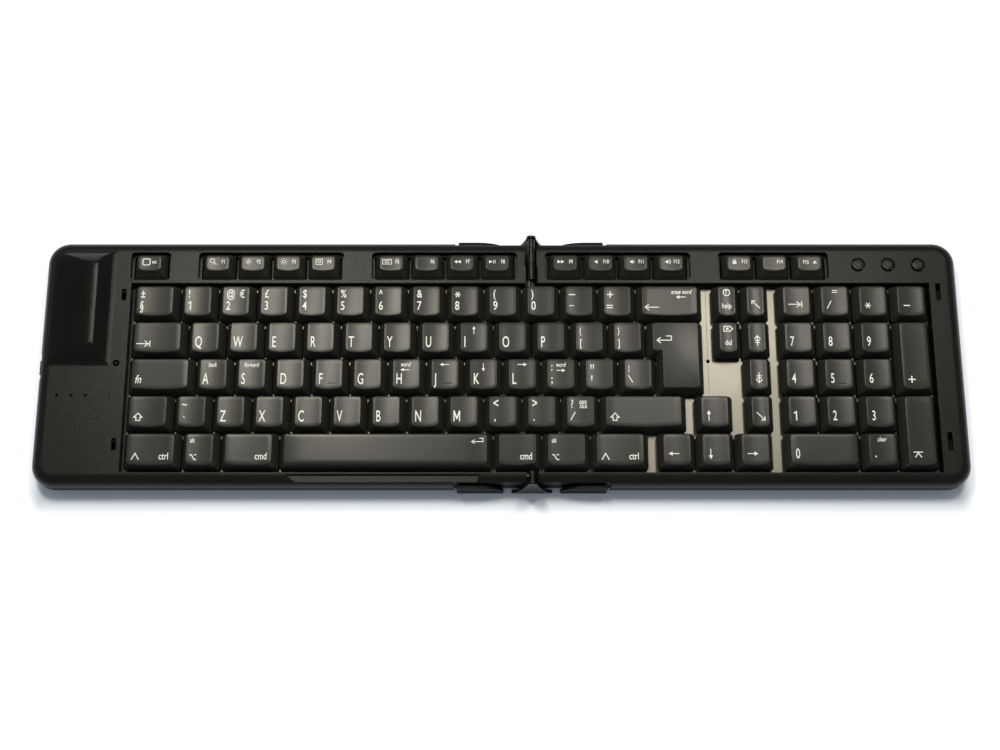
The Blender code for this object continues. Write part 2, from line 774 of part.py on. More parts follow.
def add_tab_recess(bm):
    """The finger recess in the left end, through both casings' walls."""
    x = hinge_side(-LEFT_REACH)
    half = TAB_RECESS_L / 2.0
    slope = TAB_RECESS_SLOPE
    outline = [
        (x - 1.0, TAB_MID_Y - half - slope),
        (x, TAB_MID_Y - half),
        (x + TAB_RECESS_DEPTH, TAB_MID_Y - half + slope),
        (x + TAB_RECESS_DEPTH, TAB_MID_Y + half - slope),
        (x, TAB_MID_Y + half),
        (x - 1.0, TAB_MID_Y + half + slope),
    ]
    add_prism(bm, outline, 3.2, DECK_Z - 2.5)


def make_upper_case(side, parent):
    """Deck and side walls of one half, with the key field, pockets, slots and hinge knuckles."""
    name = f"{side}_upper_case"
    bm = bmesh.new()
    add_loft(bm, upper_rings(side, 0.0, EDGE_R, UPPER_BOTTOM, 0.0))
    piece = new_piece(name, bm, CASE_BLACK, parent, piece_origin(side))
    if side == "left":
        bump = bmesh.new()
        add_loft(bump, bump_rings(0.0, UPPER_BOTTOM + GAP))
        new_tool(piece, bump, "UNION")
    hollow = bmesh.new()
    add_loft(hollow, upper_rings(side, WALL, EDGE_R - WALL, UPPER_BOTTOM - 1.0, WALL))
    new_tool(piece, hollow, "DIFFERENCE")
    if side == "left":
        bump_hollow = bmesh.new()
        add_loft(bump_hollow, bump_rings(BUMP_WALL, UPPER_BOTTOM - 1.0))
        new_tool(piece, bump_hollow, "DIFFERENCE")
    walls = bmesh.new()
    add_prism(walls, field_outline(side, FIELD_SKIRT), PLATE_TOP + GAP, DECK_Z - 1.0)
    new_tool(piece, walls, "UNION")
    pockets = bmesh.new()
    for outline in pocket_outlines(side, FIELD_SKIRT):
        add_prism(pockets, outline, PLATE_TOP + 2.0, DECK_Z - 0.9)
    new_tool(piece, pockets, "UNION")
    joined = bmesh.new()
    for x, y in EDGE_SCREWS[side]:
        add_post(joined, hinge_side(x), y, UPPER_BOTTOM, DECK_UNDER + 0.6, BOSS_R)
    for x, y in DECK_SCREWS[side]:
        add_post(joined, hinge_side(x), y, PLATE_TOP + GAP, DECK_UNDER + 0.6, BOSS_R)
    new_tool(piece, joined, "UNION")
    liners = bmesh.new()
    add_recess_liners(liners, side, UPPER_BOTTOM, DECK_UNDER - 1.0, DECK_END)
    new_tool(piece, liners, "UNION")
    webs = bmesh.new()
    add_knuckles(webs, side)
    new_tool(piece, webs, "UNION")
    barrels = bmesh.new()
    add_barrels(barrels, side)
    new_tool(piece, barrels, "UNION")
    cuts = bmesh.new()
    add_prism(cuts, field_outline(side), UPPER_BOTTOM - 1.0, DECK_Z + 1.0)
    for outline in pocket_outlines(side):
        add_prism(cuts, outline, UPPER_BOTTOM - 1.0, DECK_Z + 1.0)
    for x0, x1, y0, y1 in latch_slots(side):
        add_box(cuts, x0, x1, y0, y1, UPPER_BOTTOM, DECK_Z + 1.0)
    for y0, y1 in knuckle_spans(side):
        add_rod_y(cuts, HINGE_X, HINGE_Z, y0 - 0.5, y1 + 0.5, PIN_R + PIN_CLEAR)
    if side == "left":
        add_left_deck_cuts(cuts)
    else:
        for i in range(3):
            add_post(cuts, hinge_side(BUTTON_FIRST_X + i * BUTTON_PITCH), BUTTON_Y, UPPER_BOTTOM,
                     DECK_Z + 1.0, BUTTON_HOLE_R, sides=18)
    new_tool(piece, cuts, "DIFFERENCE")
    plate_room = bmesh.new()
    x0, x1 = plate_limits(side)
    add_box(plate_room, x0 - GAP, x1 + GAP, PLATE_FRONT - GAP, PLATE_BACK + GAP, UPPER_BOTTOM - 1.0, PLATE_TOP + GAP)
    new_tool(piece, plate_room, "DIFFERENCE")
    recess = bmesh.new()
    add_recess_cuts(recess, side)
    if side == "left":
        add_tab_recess(recess)
        add_latch_pockets(recess)
    new_tool(piece, recess, "DIFFERENCE")
    if side == "left":
        ledge = bmesh.new()
        add_thumb_ledge(ledge)
        new_tool(piece, ledge, "DIFFERENCE")


def add_left_deck_cuts(bm):
    for x in LED_X:
        add_post(bm, hinge_side(x), LED_Y, UPPER_BOTTOM, DECK_Z + 1.0, LED_R + GAP, sides=10)
    add_post(bm, hinge_side(CONNECT_X), CONNECT_Y, UPPER_BOTTOM, DECK_Z + 1.0, CONNECT_R + GAP, sides=16)


def add_latch_pockets(bm):
    """Thinned places under the left deck, where the catch fingers lie across the slots."""
    for x0, x1, y0, y1 in latch_slots("left"):
        add_box(bm, x0 - 3.5, x1 + 0.6, y0 - 0.6, y1 + 6.0, DECK_UNDER - 0.5, DECK_Z - LATCH_SKIN)


def add_thumb_ledge(bm):
    """The flat cut in the front shoulder below the space bar, with slanted ends."""
    left = unit_x(SPACE_LEFT) + 7.4
    right = unit_x(SPACE_RIGHT) - 8.45
    slant = 2.6
    depth_back = FIELD_FRONT - 0.9
    depth_front = -HALF_DEPTH - 1.0
    ledge_z = DECK_Z - 1.6
    outline = [
        (left - slant, depth_front),
        (right + slant, depth_front),
        (right, depth_back),
        (left, depth_back),
    ]
    lower = [(x, y, ledge_z - 1.2 if y < -HALF_DEPTH else ledge_z) for x, y in outline]
    upper = [(x, y, DECK_Z + 1.0) for x, y in outline]
    add_loft(bm, [lower, upper])


def make_lower_case(side, parent):
    """Floor and side walls of one half, with screw posts and plate supports."""
    name = f"{side}_lower_case"
    bm = bmesh.new()
    add_loft(bm, lower_rings(side, 0.0, CASE_BOTTOM, LOWER_TOP, 0.0))
    piece = new_piece(name, bm, CASE_BLACK, parent, piece_origin(side))
    hollow = bmesh.new()
    add_loft(hollow, lower_rings(side, WALL, FLOOR_TOP, LOWER_TOP + 1.0, END_WALL))
    new_tool(piece, hollow, "DIFFERENCE")
    joined = bmesh.new()
    for x, y in EDGE_SCREWS[side]:
        add_post(joined, hinge_side(x), y, FLOOR_TOP - 0.8, LOWER_TOP, BOSS_R)
    for x, y in DECK_SCREWS[side]:
        add_post(joined, hinge_side(x), y, FLOOR_TOP - 0.8, PLATE_BOTTOM - GAP, BOSS_R)
    for x, y in support_posts(side):
        add_post(joined, x, y, FLOOR_TOP - 0.8, PLATE_BOTTOM - GAP, BOSS_R, sides=8)
    new_tool(piece, joined, "UNION")
    liners = bmesh.new()
    add_recess_liners(liners, side, FLOOR_TOP - 0.8, LOWER_TOP, CASE_END)
    new_tool(piece, liners, "UNION")
    if side == "left":
        compartment = bmesh.new()
        x = hinge_side(DOOR_RIGHT)
        add_box(compartment, x + 0.5, x + 1.7, CELL_FRONT - 2.1, BUMP_BACK - 0.6, FLOOR_TOP - 0.8, LOWER_TOP)
        new_tool(piece, compartment, "UNION")
    cuts = bmesh.new()
    for x, y in EDGE_SCREWS[side] + DECK_SCREWS[side]:
        add_post(cuts, hinge_side(x), y, CASE_BOTTOM - 1.0, CASE_BOTTOM + 1.0, SCREW_HEAD_R + GAP)
    for x, y in FEET[side].values():
        add_post(cuts, hinge_side(x), y, CASE_BOTTOM - 1.0, CASE_BOTTOM + FOOT_SINK + GAP, FOOT_R + GAP, sides=20)
    new_tool(piece, cuts, "DIFFERENCE")
    heads = bmesh.new()
    for x, y in EDGE_SCREWS[side] + DECK_SCREWS[side]:
        add_post(heads, hinge_side(x), y, CASE_BOTTOM + 0.3, CASE_BOTTOM + 1.2, SCREW_HEAD_R)
    new_tool(piece, heads, "UNION")
    openings = bmesh.new()
    add_recess_cuts(openings, side)
    if side == "left":
        add_tab_recess(openings)
        add_box(openings, *door_limits(0.0), CASE_BOTTOM - 1.0, FLOOR_TOP)
    new_tool(piece, openings, "DIFFERENCE")
    if side == "left":
        tab_slot = bmesh.new()
        neck_front, neck_back = latch_neck()
        x = hinge_side(-LEFT_REACH)
        add_box(tab_slot, x - 1.0, x + 4.0, neck_front - GAP, neck_back + LATCH_TRAVEL + GAP, 4.2, LOWER_TOP + 1.0)
        new_tool(piece, tab_slot, "DIFFERENCE")
    plates = bmesh.new()
    add_side_plates(plates, side)
    new_tool(piece, plates, "UNION")
    pads = bmesh.new()
    add_side_plate_pads(pads, side)
    new_tool(piece, pads, "UNION")


def piece_origin(side):
    """The left half rests on the desk; the right half turns about the hinge line."""
    if side == "left":
        return (0.0, 0.0, 0.0)
    return (HINGE_X, 0.0, HINGE_Z)


def support_posts(side):
    """Plate supports stand between two rows of caps, clear of every stem."""
    return [(hinge_side(x * PITCH), ROW_0_Y - row * PITCH) for x, row in SUPPORT_POSTS[side]]


def plate_limits(side):
    if side == "left":
        return hinge_side(FIELD_LEFT - FIELD_SKIRT), hinge_side(-CASE_END)
    return hinge_side(CASE_END), hinge_side(FIELD_RIGHT + FIELD_SKIRT)


def make_key_plate(side, parent):
    """The painted metal plate that guides every stem."""
    x0, x1 = plate_limits(side)
    bm = bmesh.new()
    add_box(bm, x0, x1, PLATE_FRONT, PLATE_BACK, PLATE_BOTTOM, PLATE_TOP)
    piece = new_piece(f"{side}_key_plate", bm, SATIN_PLATE, parent, piece_origin(side), smooth=False)
    holes = bmesh.new()
    stems = travelling_stems(side) + [(key["x"], key["y"]) for key in pad_keys(side)]
    for x, y in stems:
        add_prism(holes, rectangle(x, y, STEM_HOLE, STEM_HOLE), PLATE_BOTTOM - 1.0, PLATE_TOP + 1.0)
    if side == "left":
        bar = travelling_keys(side)["space_bar"]
        size = GUIDE_POST + 2.0 * GAP
        for dx in SPACE_POSTS:
            outline = rectangle(bar["x"] + dx, bar["y"], size, size)
            add_prism(holes, outline, PLATE_BOTTOM - 1.0, PLATE_TOP + 1.0)
    if side == "right":
        add_post(holes, hinge_side(PLATE_SEAM_X), PLATE_HOLE_Y, PLATE_BOTTOM - 1.0, PLATE_TOP + 1.0, 1.0, sides=10)
    new_tool(piece, holes, "DIFFERENCE")


def sheet_cuts(side):
    """Holes that let the case's posts through the soft sheets."""
    bm = bmesh.new()
    for x, y in support_posts(side):
        add_post(bm, x, y, 0.0, DECK_Z, BOSS_R + GAP, sides=8)
    for x, y in DECK_SCREWS[side]:
        add_post(bm, hinge_side(x), y, 0.0, PLATE_TOP, BOSS_R + GAP, sides=8)
    return bm


def sheet_limits(side):
    x0, x1 = plate_limits(side)
    if side == "left":
        return x0 + 1.0, x1 - END_WALL - GAP
    return x0 + END_WALL + GAP, x1 - 1.0


def make_keypad(side, parent):
    """The rubber sheet, a dome under each key that travels, and the keys that are fused to it."""
    x0, x1 = sheet_limits(side)
    bm = bmesh.new()
    add_box(bm, x0, x1, PLATE_FRONT + 1.0, PLATE_BACK - 1.0, SHEET_Z, SHEET_Z + SHEET_THICK)
    piece = new_piece(f"{side}_keypad", bm, KEY_BLACK, parent, piece_origin(side))
    new_tool(piece, sheet_cuts(side), "DIFFERENCE")
    grown = bmesh.new()
    for x, y in travelling_stems(side):
        rings = [(DOME_R, SHEET_Z + SHEET_THICK / 2.0), (DOME_R, SHEET_Z + SHEET_THICK), (DOME_R * 0.55, DOME_TOP_Z)]
        add_loft(grown, [[(px, py, z) for px, py in circle(x, y, r, 6)] for r, z in rings])
    for key in pad_keys(side):
        add_cap(grown, key, rooted=True)
    new_tool(piece, grown, "UNION")


def make_membrane(side, parent):
    """The contact film below the domes, with the left one's tail to the controller board."""
    x0, x1 = sheet_limits(side)
    bm = bmesh.new()
    add_box(bm, x0, x1, PLATE_FRONT + 1.0, PLATE_BACK - 1.0, MEMBRANE_Z, MEMBRANE_Z + MEMBRANE_THICK)
    piece = new_piece(f"{side}_membrane", bm, CLEAR_FILM, parent, piece_origin(side), smooth=False)
    new_tool(piece, sheet_cuts(side), "DIFFERENCE")
    if side == "left":
        tail = bmesh.new()
        z1 = MEMBRANE_Z + MEMBRANE_THICK
        add_box(tail, hinge_side(BOARD_RIGHT) + GAP, x0 + 3.0, TAIL_FRONT, TAIL_FRONT + TAIL_W, MEMBRANE_Z, z1)
        new_tool(piece, tail, "UNION")


def make_feet(side, parent):
    for name, (x, y) in FEET[side].items():
        bm = bmesh.new()
        add_post(bm, hinge_side(x), y, 0.0, CASE_BOTTOM + FOOT_SINK, FOOT_R, sides=20)
        new_piece(name, bm, RUBBER, parent, piece_origin(side))


def half_side_plate_outline(sign):
    """A plate beside the hinge: full height at its far end and falling in a curve towards the hinge."""
    near = SIDE_PLATE_NEAR
    far = SIDE_PLATE_FAR
    points = [(near, 0.0), (far, 0.0), (far, SIDE_PLATE_H - 0.8), (far - 0.8, SIDE_PLATE_H)]
    crest = far - 9.0
    steps = 5
    for i in range(steps + 1):
        angle = math.radians(90.0 * i / steps)
        x = crest - (crest - near) * math.sin(angle)
        z = 4.0 + (SIDE_PLATE_H - 4.0) * math.cos(angle)
        points.append((x, z))
    return [(hinge_side(sign * x), z) for x, z in points]


def add_side_plates(bm, side):
    """The two plates that the lower case carries in the recess beside the hinge."""
    sign = -1.0 if side == "left" else 1.0
    inner = END_PLATE_FACE - END_PLATE_THICK
    outline = half_side_plate_outline(sign)
    for direction in (-1.0, 1.0):
        y0, y1 = sorted((direction * inner, direction * END_PLATE_FACE))
        add_prism_y(bm, outline, y0, y1)


def add_side_plate_pads(bm, side):
    """The short blocks that join those plates to the case's wall."""
    sign = -1.0 if side == "left" else 1.0
    inner = END_PLATE_FACE - END_PLATE_THICK
    x0, x1 = sorted((hinge_side(sign * (SIDE_PLATE_FAR - 14.0)), hinge_side(sign * (SIDE_PLATE_FAR - 4.0))))
    for direction in (-1.0, 1.0):
        y0, y1 = sorted((direction * (RECESS_FACE - 0.5), direction * (inner + 0.5)))
        add_box(bm, x0, x1, y0, y1, 3.6, 7.0)


def end_plate_outline():
    """The flared plate that closes the hinge line and stands on the desk."""
    crown = KNUCKLE_R + 0.7
    side = [(END_PLATE_FOOT, 0.0), (END_PLATE_FOOT, 2.0)]
    steps = 6
    for i in range(1, steps + 1):
        angle = math.radians(90.0 * i / steps)
        x = crown + (END_PLATE_FOOT - crown) * (1.0 - math.sin(angle)) ** 0.8
        z = HINGE_Z - (HINGE_Z - 2.0) * math.cos(angle) ** 1.3
        side.append((x, z))
    for angle in (math.radians(35.0), math.radians(65.0)):
        side.append((crown * math.cos(angle), HINGE_Z + crown * math.sin(angle)))
    outline = side + [(0.0, HINGE_Z + crown)] + [(-x, z) for x, z in reversed(side)]
    return [(hinge_side(x), z) for x, z in outline]


def make_end_plates(parent):
    """Each end plate carries the hinge pin of its end."""
    inner = END_PLATE_FACE - END_PLATE_THICK
    pins = {"rear": FIELD_BACK + GAP + 0.2, "front": FIELD_FRONT - GAP - 0.2}
    for end, tip in pins.items():
        direction = 1.0 if end == "rear" else -1.0
        y0, y1 = sorted((direction * inner, direction * END_PLATE_FACE))
        bm = bmesh.new()
        add_prism_y(bm, end_plate_outline(), y0, y1)
        piece = new_piece(f"{end}_hinge_plate", bm, CASE_BLACK, parent, (HINGE_X, 0.0, HINGE_Z))
        pin = bmesh.new()
        y0, y1 = sorted((tip, direction * (END_PLATE_FACE - 0.5)))
        add_rod_y(pin, HINGE_X, HINGE_Z, y0, y1, PIN_R)
        new_tool(piece, pin, "UNION")


# Battery compartment

def door_limits(clearance):
    """X and Y limits of the battery door, which forms the case's bottom edge at the left end."""
    return (
        hinge_side(-LEFT_REACH) - 1.0,
        hinge_side(DOOR_RIGHT) - clearance,
        CELL_FRONT - 0.9 + clearance,
        CELL_FRONT + CELL_LENGTH + 0.9 - clearance,
    )


def make_battery_door(parent):
    """The sliding door in the floor: the case's own bottom edge, cut out with clearance."""
    bm = bmesh.new()
    add_loft(bm, lower_rings("left", 0.0, CASE_BOTTOM, LOWER_TOP, 0.0))
    x0, x1, y0, y1 = door_limits(GAP)
    middle = (x1, (y0 + y1) / 2.0, CASE_BOTTOM)
    piece = new_piece("battery_door", bm, CASE_BLACK, parent, middle)
    keep = bmesh.new()
    add_box(keep, x0, x1, y0, y1, CASE_BOTTOM - 1.0, FLOOR_TOP - GAP)
    new_tool(piece, keep, "INTERSECT")
    grips = bmesh.new()
    for i in range(4):
        x = x0 + 12.0 + 2.4 * i
        add_box(grips, x, x + 1.0, (y0 + y1) / 2.0 - 6.0, (y0 + y1) / 2.0 + 6.0, CASE_BOTTOM - 1.0, CASE_BOTTOM + 0.4)
    new_tool(piece, grips, "DIFFERENCE")


def make_battery_cells(parent):
    """Two cylindrical cells side by side, each with its raised positive end."""
    z = CELL_FLOOR + CELL_R
    back = CELL_FRONT + CELL_LENGTH
    for number, x in enumerate(CELL_X, start=1):
        bm = bmesh.new()
        profile = [(CELL_R, CELL_FRONT), (CELL_R, back - 1.2), (CELL_R * 0.38, back - 1.2), (CELL_R * 0.38, back)]
        add_loft(bm, [[(px, y, pz) for px, pz in circle(hinge_side(x), z, r, 20)] for r, y in profile])
        new_piece(f"battery_cell_{number}", bm, CELL_SLEEVE, parent, (hinge_side(x), CELL_FRONT, z))


def make_battery_contacts(parent):
    """A bridging strip at the cells' front ends, and a small board with two contacts at the back."""
    x0 = hinge_side(CELL_X[0]) - 3.0
    x1 = hinge_side(CELL_X[1]) + 3.0
    z = CELL_FLOOR + CELL_R
    bridge = bmesh.new()
    add_box(bridge, x0, x1, CELL_FRONT - GAP - 0.5, CELL_FRONT - GAP, z - 3.0, z + 3.0)
    new_piece("battery_bridge_contact", bridge, STEEL, parent, (0.0, 0.0, 0.0), smooth=False)
    y = CELL_FRONT + CELL_LENGTH + GAP
    board = bmesh.new()
    add_box(board, x0, x1, y + 0.5, y + 1.5, z - 4.0, z + 3.0)
    piece = new_piece("battery_contact_board", board, BOARD_GREEN, parent, (0.0, 0.0, 0.0), smooth=False)
    pads = bmesh.new()
    for x in CELL_X:
        add_box(pads, hinge_side(x) - 2.4, hinge_side(x) + 2.4, y, y + 0.8, z - 2.4, z + 2.4)
    new_tool(piece, pads, "UNION")


# Boards and small parts

def make_controller_board(parent):
    bm = bmesh.new()
    x0 = hinge_side(-LEFT_REACH) + 6.0
    x1 = hinge_side(BOARD_RIGHT)
    base = FLOOR_TOP + GAP
    board_front = 15.4 - HALF_DEPTH
    add_box(bm, x0, x1, board_front, TAB_MID_Y - 6.4, base, base + 1.6)
    piece = new_piece("controller_board", bm, BOARD_GREEN, parent, (0.0, 0.0, 0.0), smooth=False)
    chips = bmesh.new()
    chip_places = [(8.0, 8.0, 9.0), (19.0, 18.0, 6.0), (8.0, 24.0, 5.0)]
    for dx, dy, size in chip_places:
        half = size / 2.0
        x = x0 + dx
        y = board_front + dy
        add_box(chips, x - half, x + half, y - half, y + half, base + 1.0, base + 3.0)
    new_tool(piece, chips, "UNION")


def make_light_pipe(parent):
    """One clear bar with a pin up to each indicator hole."""
    bm = bmesh.new()
    x0 = hinge_side(LED_X[0]) - 1.5
    x1 = hinge_side(LED_X[-1]) + 1.5
    add_box(bm, x0, x1, LED_Y - 1.2, LED_Y + 1.2, DECK_UNDER - GAP - 1.2, DECK_UNDER - GAP)
    piece = new_piece("indicator_light_pipe", bm, CLEAR_FILM, parent, (0.0, 0.0, 0.0))
    pins = bmesh.new()
    for x in LED_X:
        add_post(pins, hinge_side(x), LED_Y, DECK_UNDER - GAP - 0.6, DECK_Z - 0.1, LED_R, sides=10)
    new_tool(piece, pins, "UNION")


def make_connect_button(parent):
    bm = bmesh.new()
    x = hinge_side(CONNECT_X)
    rings = [
        (CONNECT_R + 0.9, DECK_UNDER - GAP - 1.0),
        (CONNECT_R + 0.9, DECK_UNDER - GAP),
        (CONNECT_R, DECK_UNDER - GAP),
        (CONNECT_R, DECK_Z + 0.1),
        (CONNECT_R - 0.4, DECK_Z + 0.4),
    ]
    add_loft(bm, [[(px, py, z) for px, py in circle(x, CONNECT_Y, r, 16)] for r, z in rings])
    new_piece("connect_button", bm, KEY_BLACK, parent, (x, CONNECT_Y, DECK_Z))


def make_round_buttons(parent):
    names = ("mute_button", "volume_down_button", "volume_up_button")
    for i, name in enumerate(names):
        x = hinge_side(BUTTON_FIRST_X + i * BUTTON_PITCH)
        flange_top = DECK_UNDER - GAP
        rings = [
            (BUTTON_FLANGE_R, flange_top - 0.9),
            (BUTTON_FLANGE_R, flange_top),
            (BUTTON_R, flange_top),
            (BUTTON_R, DECK_Z + 0.1),
            (BUTTON_R - 0.5, DECK_Z + 0.6),
        ]
        bm = bmesh.new()
        add_loft(bm, [[(px, py, z) for px, py in circle(x, BUTTON_Y, r, 18)] for r, z in rings])
        new_piece(name, bm, KEY_BLACK, parent, (x, BUTTON_Y, DECK_Z))


def make_button_board(parent):
    bm = bmesh.new()
    x0 = hinge_side(BUTTON_FIRST_X - 5.0)
    x1 = hinge_side(BUTTON_FIRST_X + 2.0 * BUTTON_PITCH + 5.0)
    base = PLATE_TOP + GAP
    add_box(bm, x0, x1, BUTTON_Y - 4.5, BUTTON_Y + 4.5, base, base + 1.0)
    piece = new_piece("button_board", bm, BOARD_GREEN, parent, piece_origin("right"), smooth=False)
    switches = bmesh.new()
    top = DECK_UNDER - GAP - 0.9 - BUTTON_TRAVEL - GAP
    for i in range(3):
        x = hinge_side(BUTTON_FIRST_X + i * BUTTON_PITCH)
        add_box(switches, x - 2.2, x + 2.2, BUTTON_Y - 2.2, BUTTON_Y + 2.2, base + 0.5, top)
    new_tool(piece, switches, "UNION")


# Latch

def latch_neck():
    """Y limits at rest of the neck that joins the finger tab to the slide."""
    return TAB_MID_Y - 3.6, TAB_MID_Y - 0.6


def make_latch(parent):
    """The finger tab on the left end with its slide bar and two catch fingers."""
    neck_front, neck_back = latch_neck()
    x = hinge_side(-LEFT_REACH)
    tab = bmesh.new()
    half = TAB_L / 2.0
    tab_x = x + TAB_RECESS_DEPTH - GAP
    outline = [
        (x + 0.1, TAB_MID_Y - half + 0.4),
        (tab_x, TAB_MID_Y - half),
        (tab_x, TAB_MID_Y + half),
        (x + 0.1, TAB_MID_Y + half - 0.4),
    ]
    add_prism(tab, outline, 3.8, DECK_Z - 4.2)
    piece = new_piece("release_slide", tab, CASE_BLACK, parent, (x, TAB_MID_Y, PARTING_Z), smooth=False)
    bar_x0 = hinge_side(LATCH_MID_X) - 5.0
    bar_x1 = hinge_side(LATCH_MID_X) - 2.4
    arm = bmesh.new()
    add_box(arm, x + 0.4, bar_x0 + 1.0, neck_front, neck_back, BAR_Z, BAR_Z + BAR_THICK)
    new_tool(piece, arm, "UNION")
    fingers = finger_spans()
    bar = bmesh.new()
    low = min(post[0] for lip, post in fingers)
    high = max(post[1] for lip, post in fingers)
    add_box(bar, bar_x0, bar_x1, low, high, BAR_Z, BAR_Z + BAR_THICK)
    new_tool(piece, bar, "UNION")
    lip_top = DECK_Z - LATCH_SKIN - GAP
    posts = bmesh.new()
    for lip, post in fingers:
        add_box(posts, bar_x0 + 0.8, bar_x1, post[0], post[1], BAR_Z + BAR_THICK / 2.0, lip_top)
    new_tool(piece, posts, "UNION")
    lips = bmesh.new()
    for lip, post in fingers:
        lip_x1 = hinge_side(LATCH_MID_X) + SLOT_W / 2.0 - 0.4
        add_box(lips, bar_x0 + 1.1, lip_x1, lip[0], post[0] + 0.8, lip_top - 0.5, lip_top)
    new_tool(piece, lips, "UNION")


def finger_spans():
    """Y limits of each catch lip and of the post that carries it, at rest."""
    spans = []
    for front in SLOT_FRONTS:
        nose = front + 0.4 + HOOK_WIDTH
        lip = (nose + GAP, nose + GAP + 2.3)
        post = (lip[1], lip[1] + 2.5)
        spans.append((lip, post))
    return spans


def make_hooks(parent):
    """Loose hooks that drop out of the right deck when the half is turned over."""
    names = ("latch_hook_rear", "latch_hook_front")
    x = hinge_side(LATCH_X)
    tip = DECK_Z - GAP
    foot = FLOOR_TOP + GAP
    for name, front in zip(names, SLOT_FRONTS):
        y0 = front + 0.4
        y1 = y0 + HOOK_WIDTH
        outline = [
            (y0, foot),
            (y1, foot),
            (y1, tip - HOOK_NOSE_THICK),
            (y1 + HOOK_NOSE, tip - HOOK_NOSE_THICK),
            (y1 + HOOK_NOSE * 0.4, tip),
            (y0, tip),
        ]
        bm = bmesh.new()
        half = HOOK_THICK / 2.0
        add_loft(bm, [[(x - half, y, z) for y, z in outline], [(x + half, y, z) for y, z in outline]])
        piece = new_piece(name, bm, STEEL, parent, (x, front, DECK_Z), smooth=False)
        wings = bmesh.new()
        add_box(wings, x - 1.7, x + 1.7, y0 + 0.4, y1 - 0.4, foot, foot + 0.7)
        new_tool(piece, wings, "UNION")


def main():
    clear_scene()
    left = new_empty("left_half", 0.0, 0.0, 0.0)
    right = new_empty("right_half", HINGE_X, 0.0, HINGE_Z)
    for side, parent in (("left", left), ("right", right)):
        make_lower_case(side, parent)
        make_upper_case(side, parent)
        make_key_plate(side, parent)
        make_keypad(side, parent)
        make_membrane(side, parent)
        make_feet(side, parent)
        for name, key in travelling_keys(side).items():
            make_travelling_key(name, key, parent)
    make_return_key(right)
    make_end_plates(left)
    make_battery_door(left)
    make_battery_cells(left)
    make_battery_contacts(left)
    make_controller_board(left)
    make_light_pipe(left)
    make_connect_button(left)
    make_latch(left)
    make_round_buttons(right)
    make_button_board(right)
    make_hooks(right)


main()
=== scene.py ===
"""Looks for the folding keyboard: refined shells, sculpted key caps, printed legends, floor and light.

Sizes below are in millimetres unless a name says otherwise, in the part's own frame.
"""

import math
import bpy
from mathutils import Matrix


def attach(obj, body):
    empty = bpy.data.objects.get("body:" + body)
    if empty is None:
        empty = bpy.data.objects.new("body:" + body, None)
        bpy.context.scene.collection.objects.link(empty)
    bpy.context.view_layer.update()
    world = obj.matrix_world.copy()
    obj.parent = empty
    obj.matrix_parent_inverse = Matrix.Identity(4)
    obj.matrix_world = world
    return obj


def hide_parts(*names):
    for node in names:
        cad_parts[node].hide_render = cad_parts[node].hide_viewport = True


bl_info = {
    "name": "Folding keyboard looks",
    "version": (1, 0, 0),
    "blender": (4, 5, 0),
    "location": "3D View > Sidebar > Keyboard",
    "description": "Builds the visible surface of a folding keyboard around its packed solids",
    "category": "Object",
}

import bmesh
import bpy
from mathutils import Matrix, Vector

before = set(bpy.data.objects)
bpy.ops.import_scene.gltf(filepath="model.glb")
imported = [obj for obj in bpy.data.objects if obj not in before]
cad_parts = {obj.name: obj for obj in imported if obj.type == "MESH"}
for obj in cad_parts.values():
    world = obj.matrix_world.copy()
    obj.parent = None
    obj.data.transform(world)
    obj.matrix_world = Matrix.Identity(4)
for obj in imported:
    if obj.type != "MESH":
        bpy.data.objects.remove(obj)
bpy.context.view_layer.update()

MM = 0.001
SIGN = {"left": -1.0, "right": 1.0}

# The hinge line and the grid of keys, whose columns count from the left edge of the main block
HINGE_X = 15.0
HINGE_Z = 19.2
HINGE_UNIT = 10.5
PITCH = 19.05
ROW_0_Y = 30.0
F_ROW_Y = 49.7
PAD_UNIT = 16.95
LAST_UNIT = 20.95

# Heights
KEY_TOP_Z = 18.7
DECK_Z = 15.6
SKIRT_Z = 12.3
STEM_LOW_Z = 7.9

# Caps: the gap between solids and the narrower one between visible caps, and how far a top is smaller
KEY_GAP = 0.65
CAP_GAP = 0.42
SIDE_TAPER = 5.67
DEPTH_TAPER = 4.4
TOP_SHIFT = 0.5
STEM_HALF = 3.2
F_CAP_BASE = (16.4, 14.0)
F_CAP_TOP = (11.8, 7.2)
F_TOP_SHIFT = 0.75

# Back row, as distances from the hinge line: the first cap, the next one, the next block
F_FIRST = 17.1
F_PITCH = 17.75
F_BLOCK_STEP = 34.2
F_BLOCKS = {"left": (4, 4, 1), "right": (4, 3)}


# Node trees

class Sock:
    """A socket of a node tree, with arithmetic that adds Math nodes."""

    def __init__(self, tree, socket):
        self.tree = tree
        self.socket = socket

    def math(self, operation, other, swap=False):
        node = self.tree.nodes.new("ShaderNodeMath")
        node.operation = operation
        for place, value in zip((1, 0) if swap else (0, 1), (self, other)):
            if isinstance(value, Sock):
                self.tree.links.new(value.socket, node.inputs[place])
            else:
                node.inputs[place].default_value = value
        return Sock(self.tree, node.outputs[0])

    def __add__(self, other):
        return self.math("ADD", other)

    def __radd__(self, other):
        return self.math("ADD", other, swap=True)

    def __sub__(self, other):
        return self.math("SUBTRACT", other)

    def __rsub__(self, other):
        return self.math("SUBTRACT", other, swap=True)

    def __mul__(self, other):
        return self.math("MULTIPLY", other)

    def __rmul__(self, other):
        return self.math("MULTIPLY", other, swap=True)


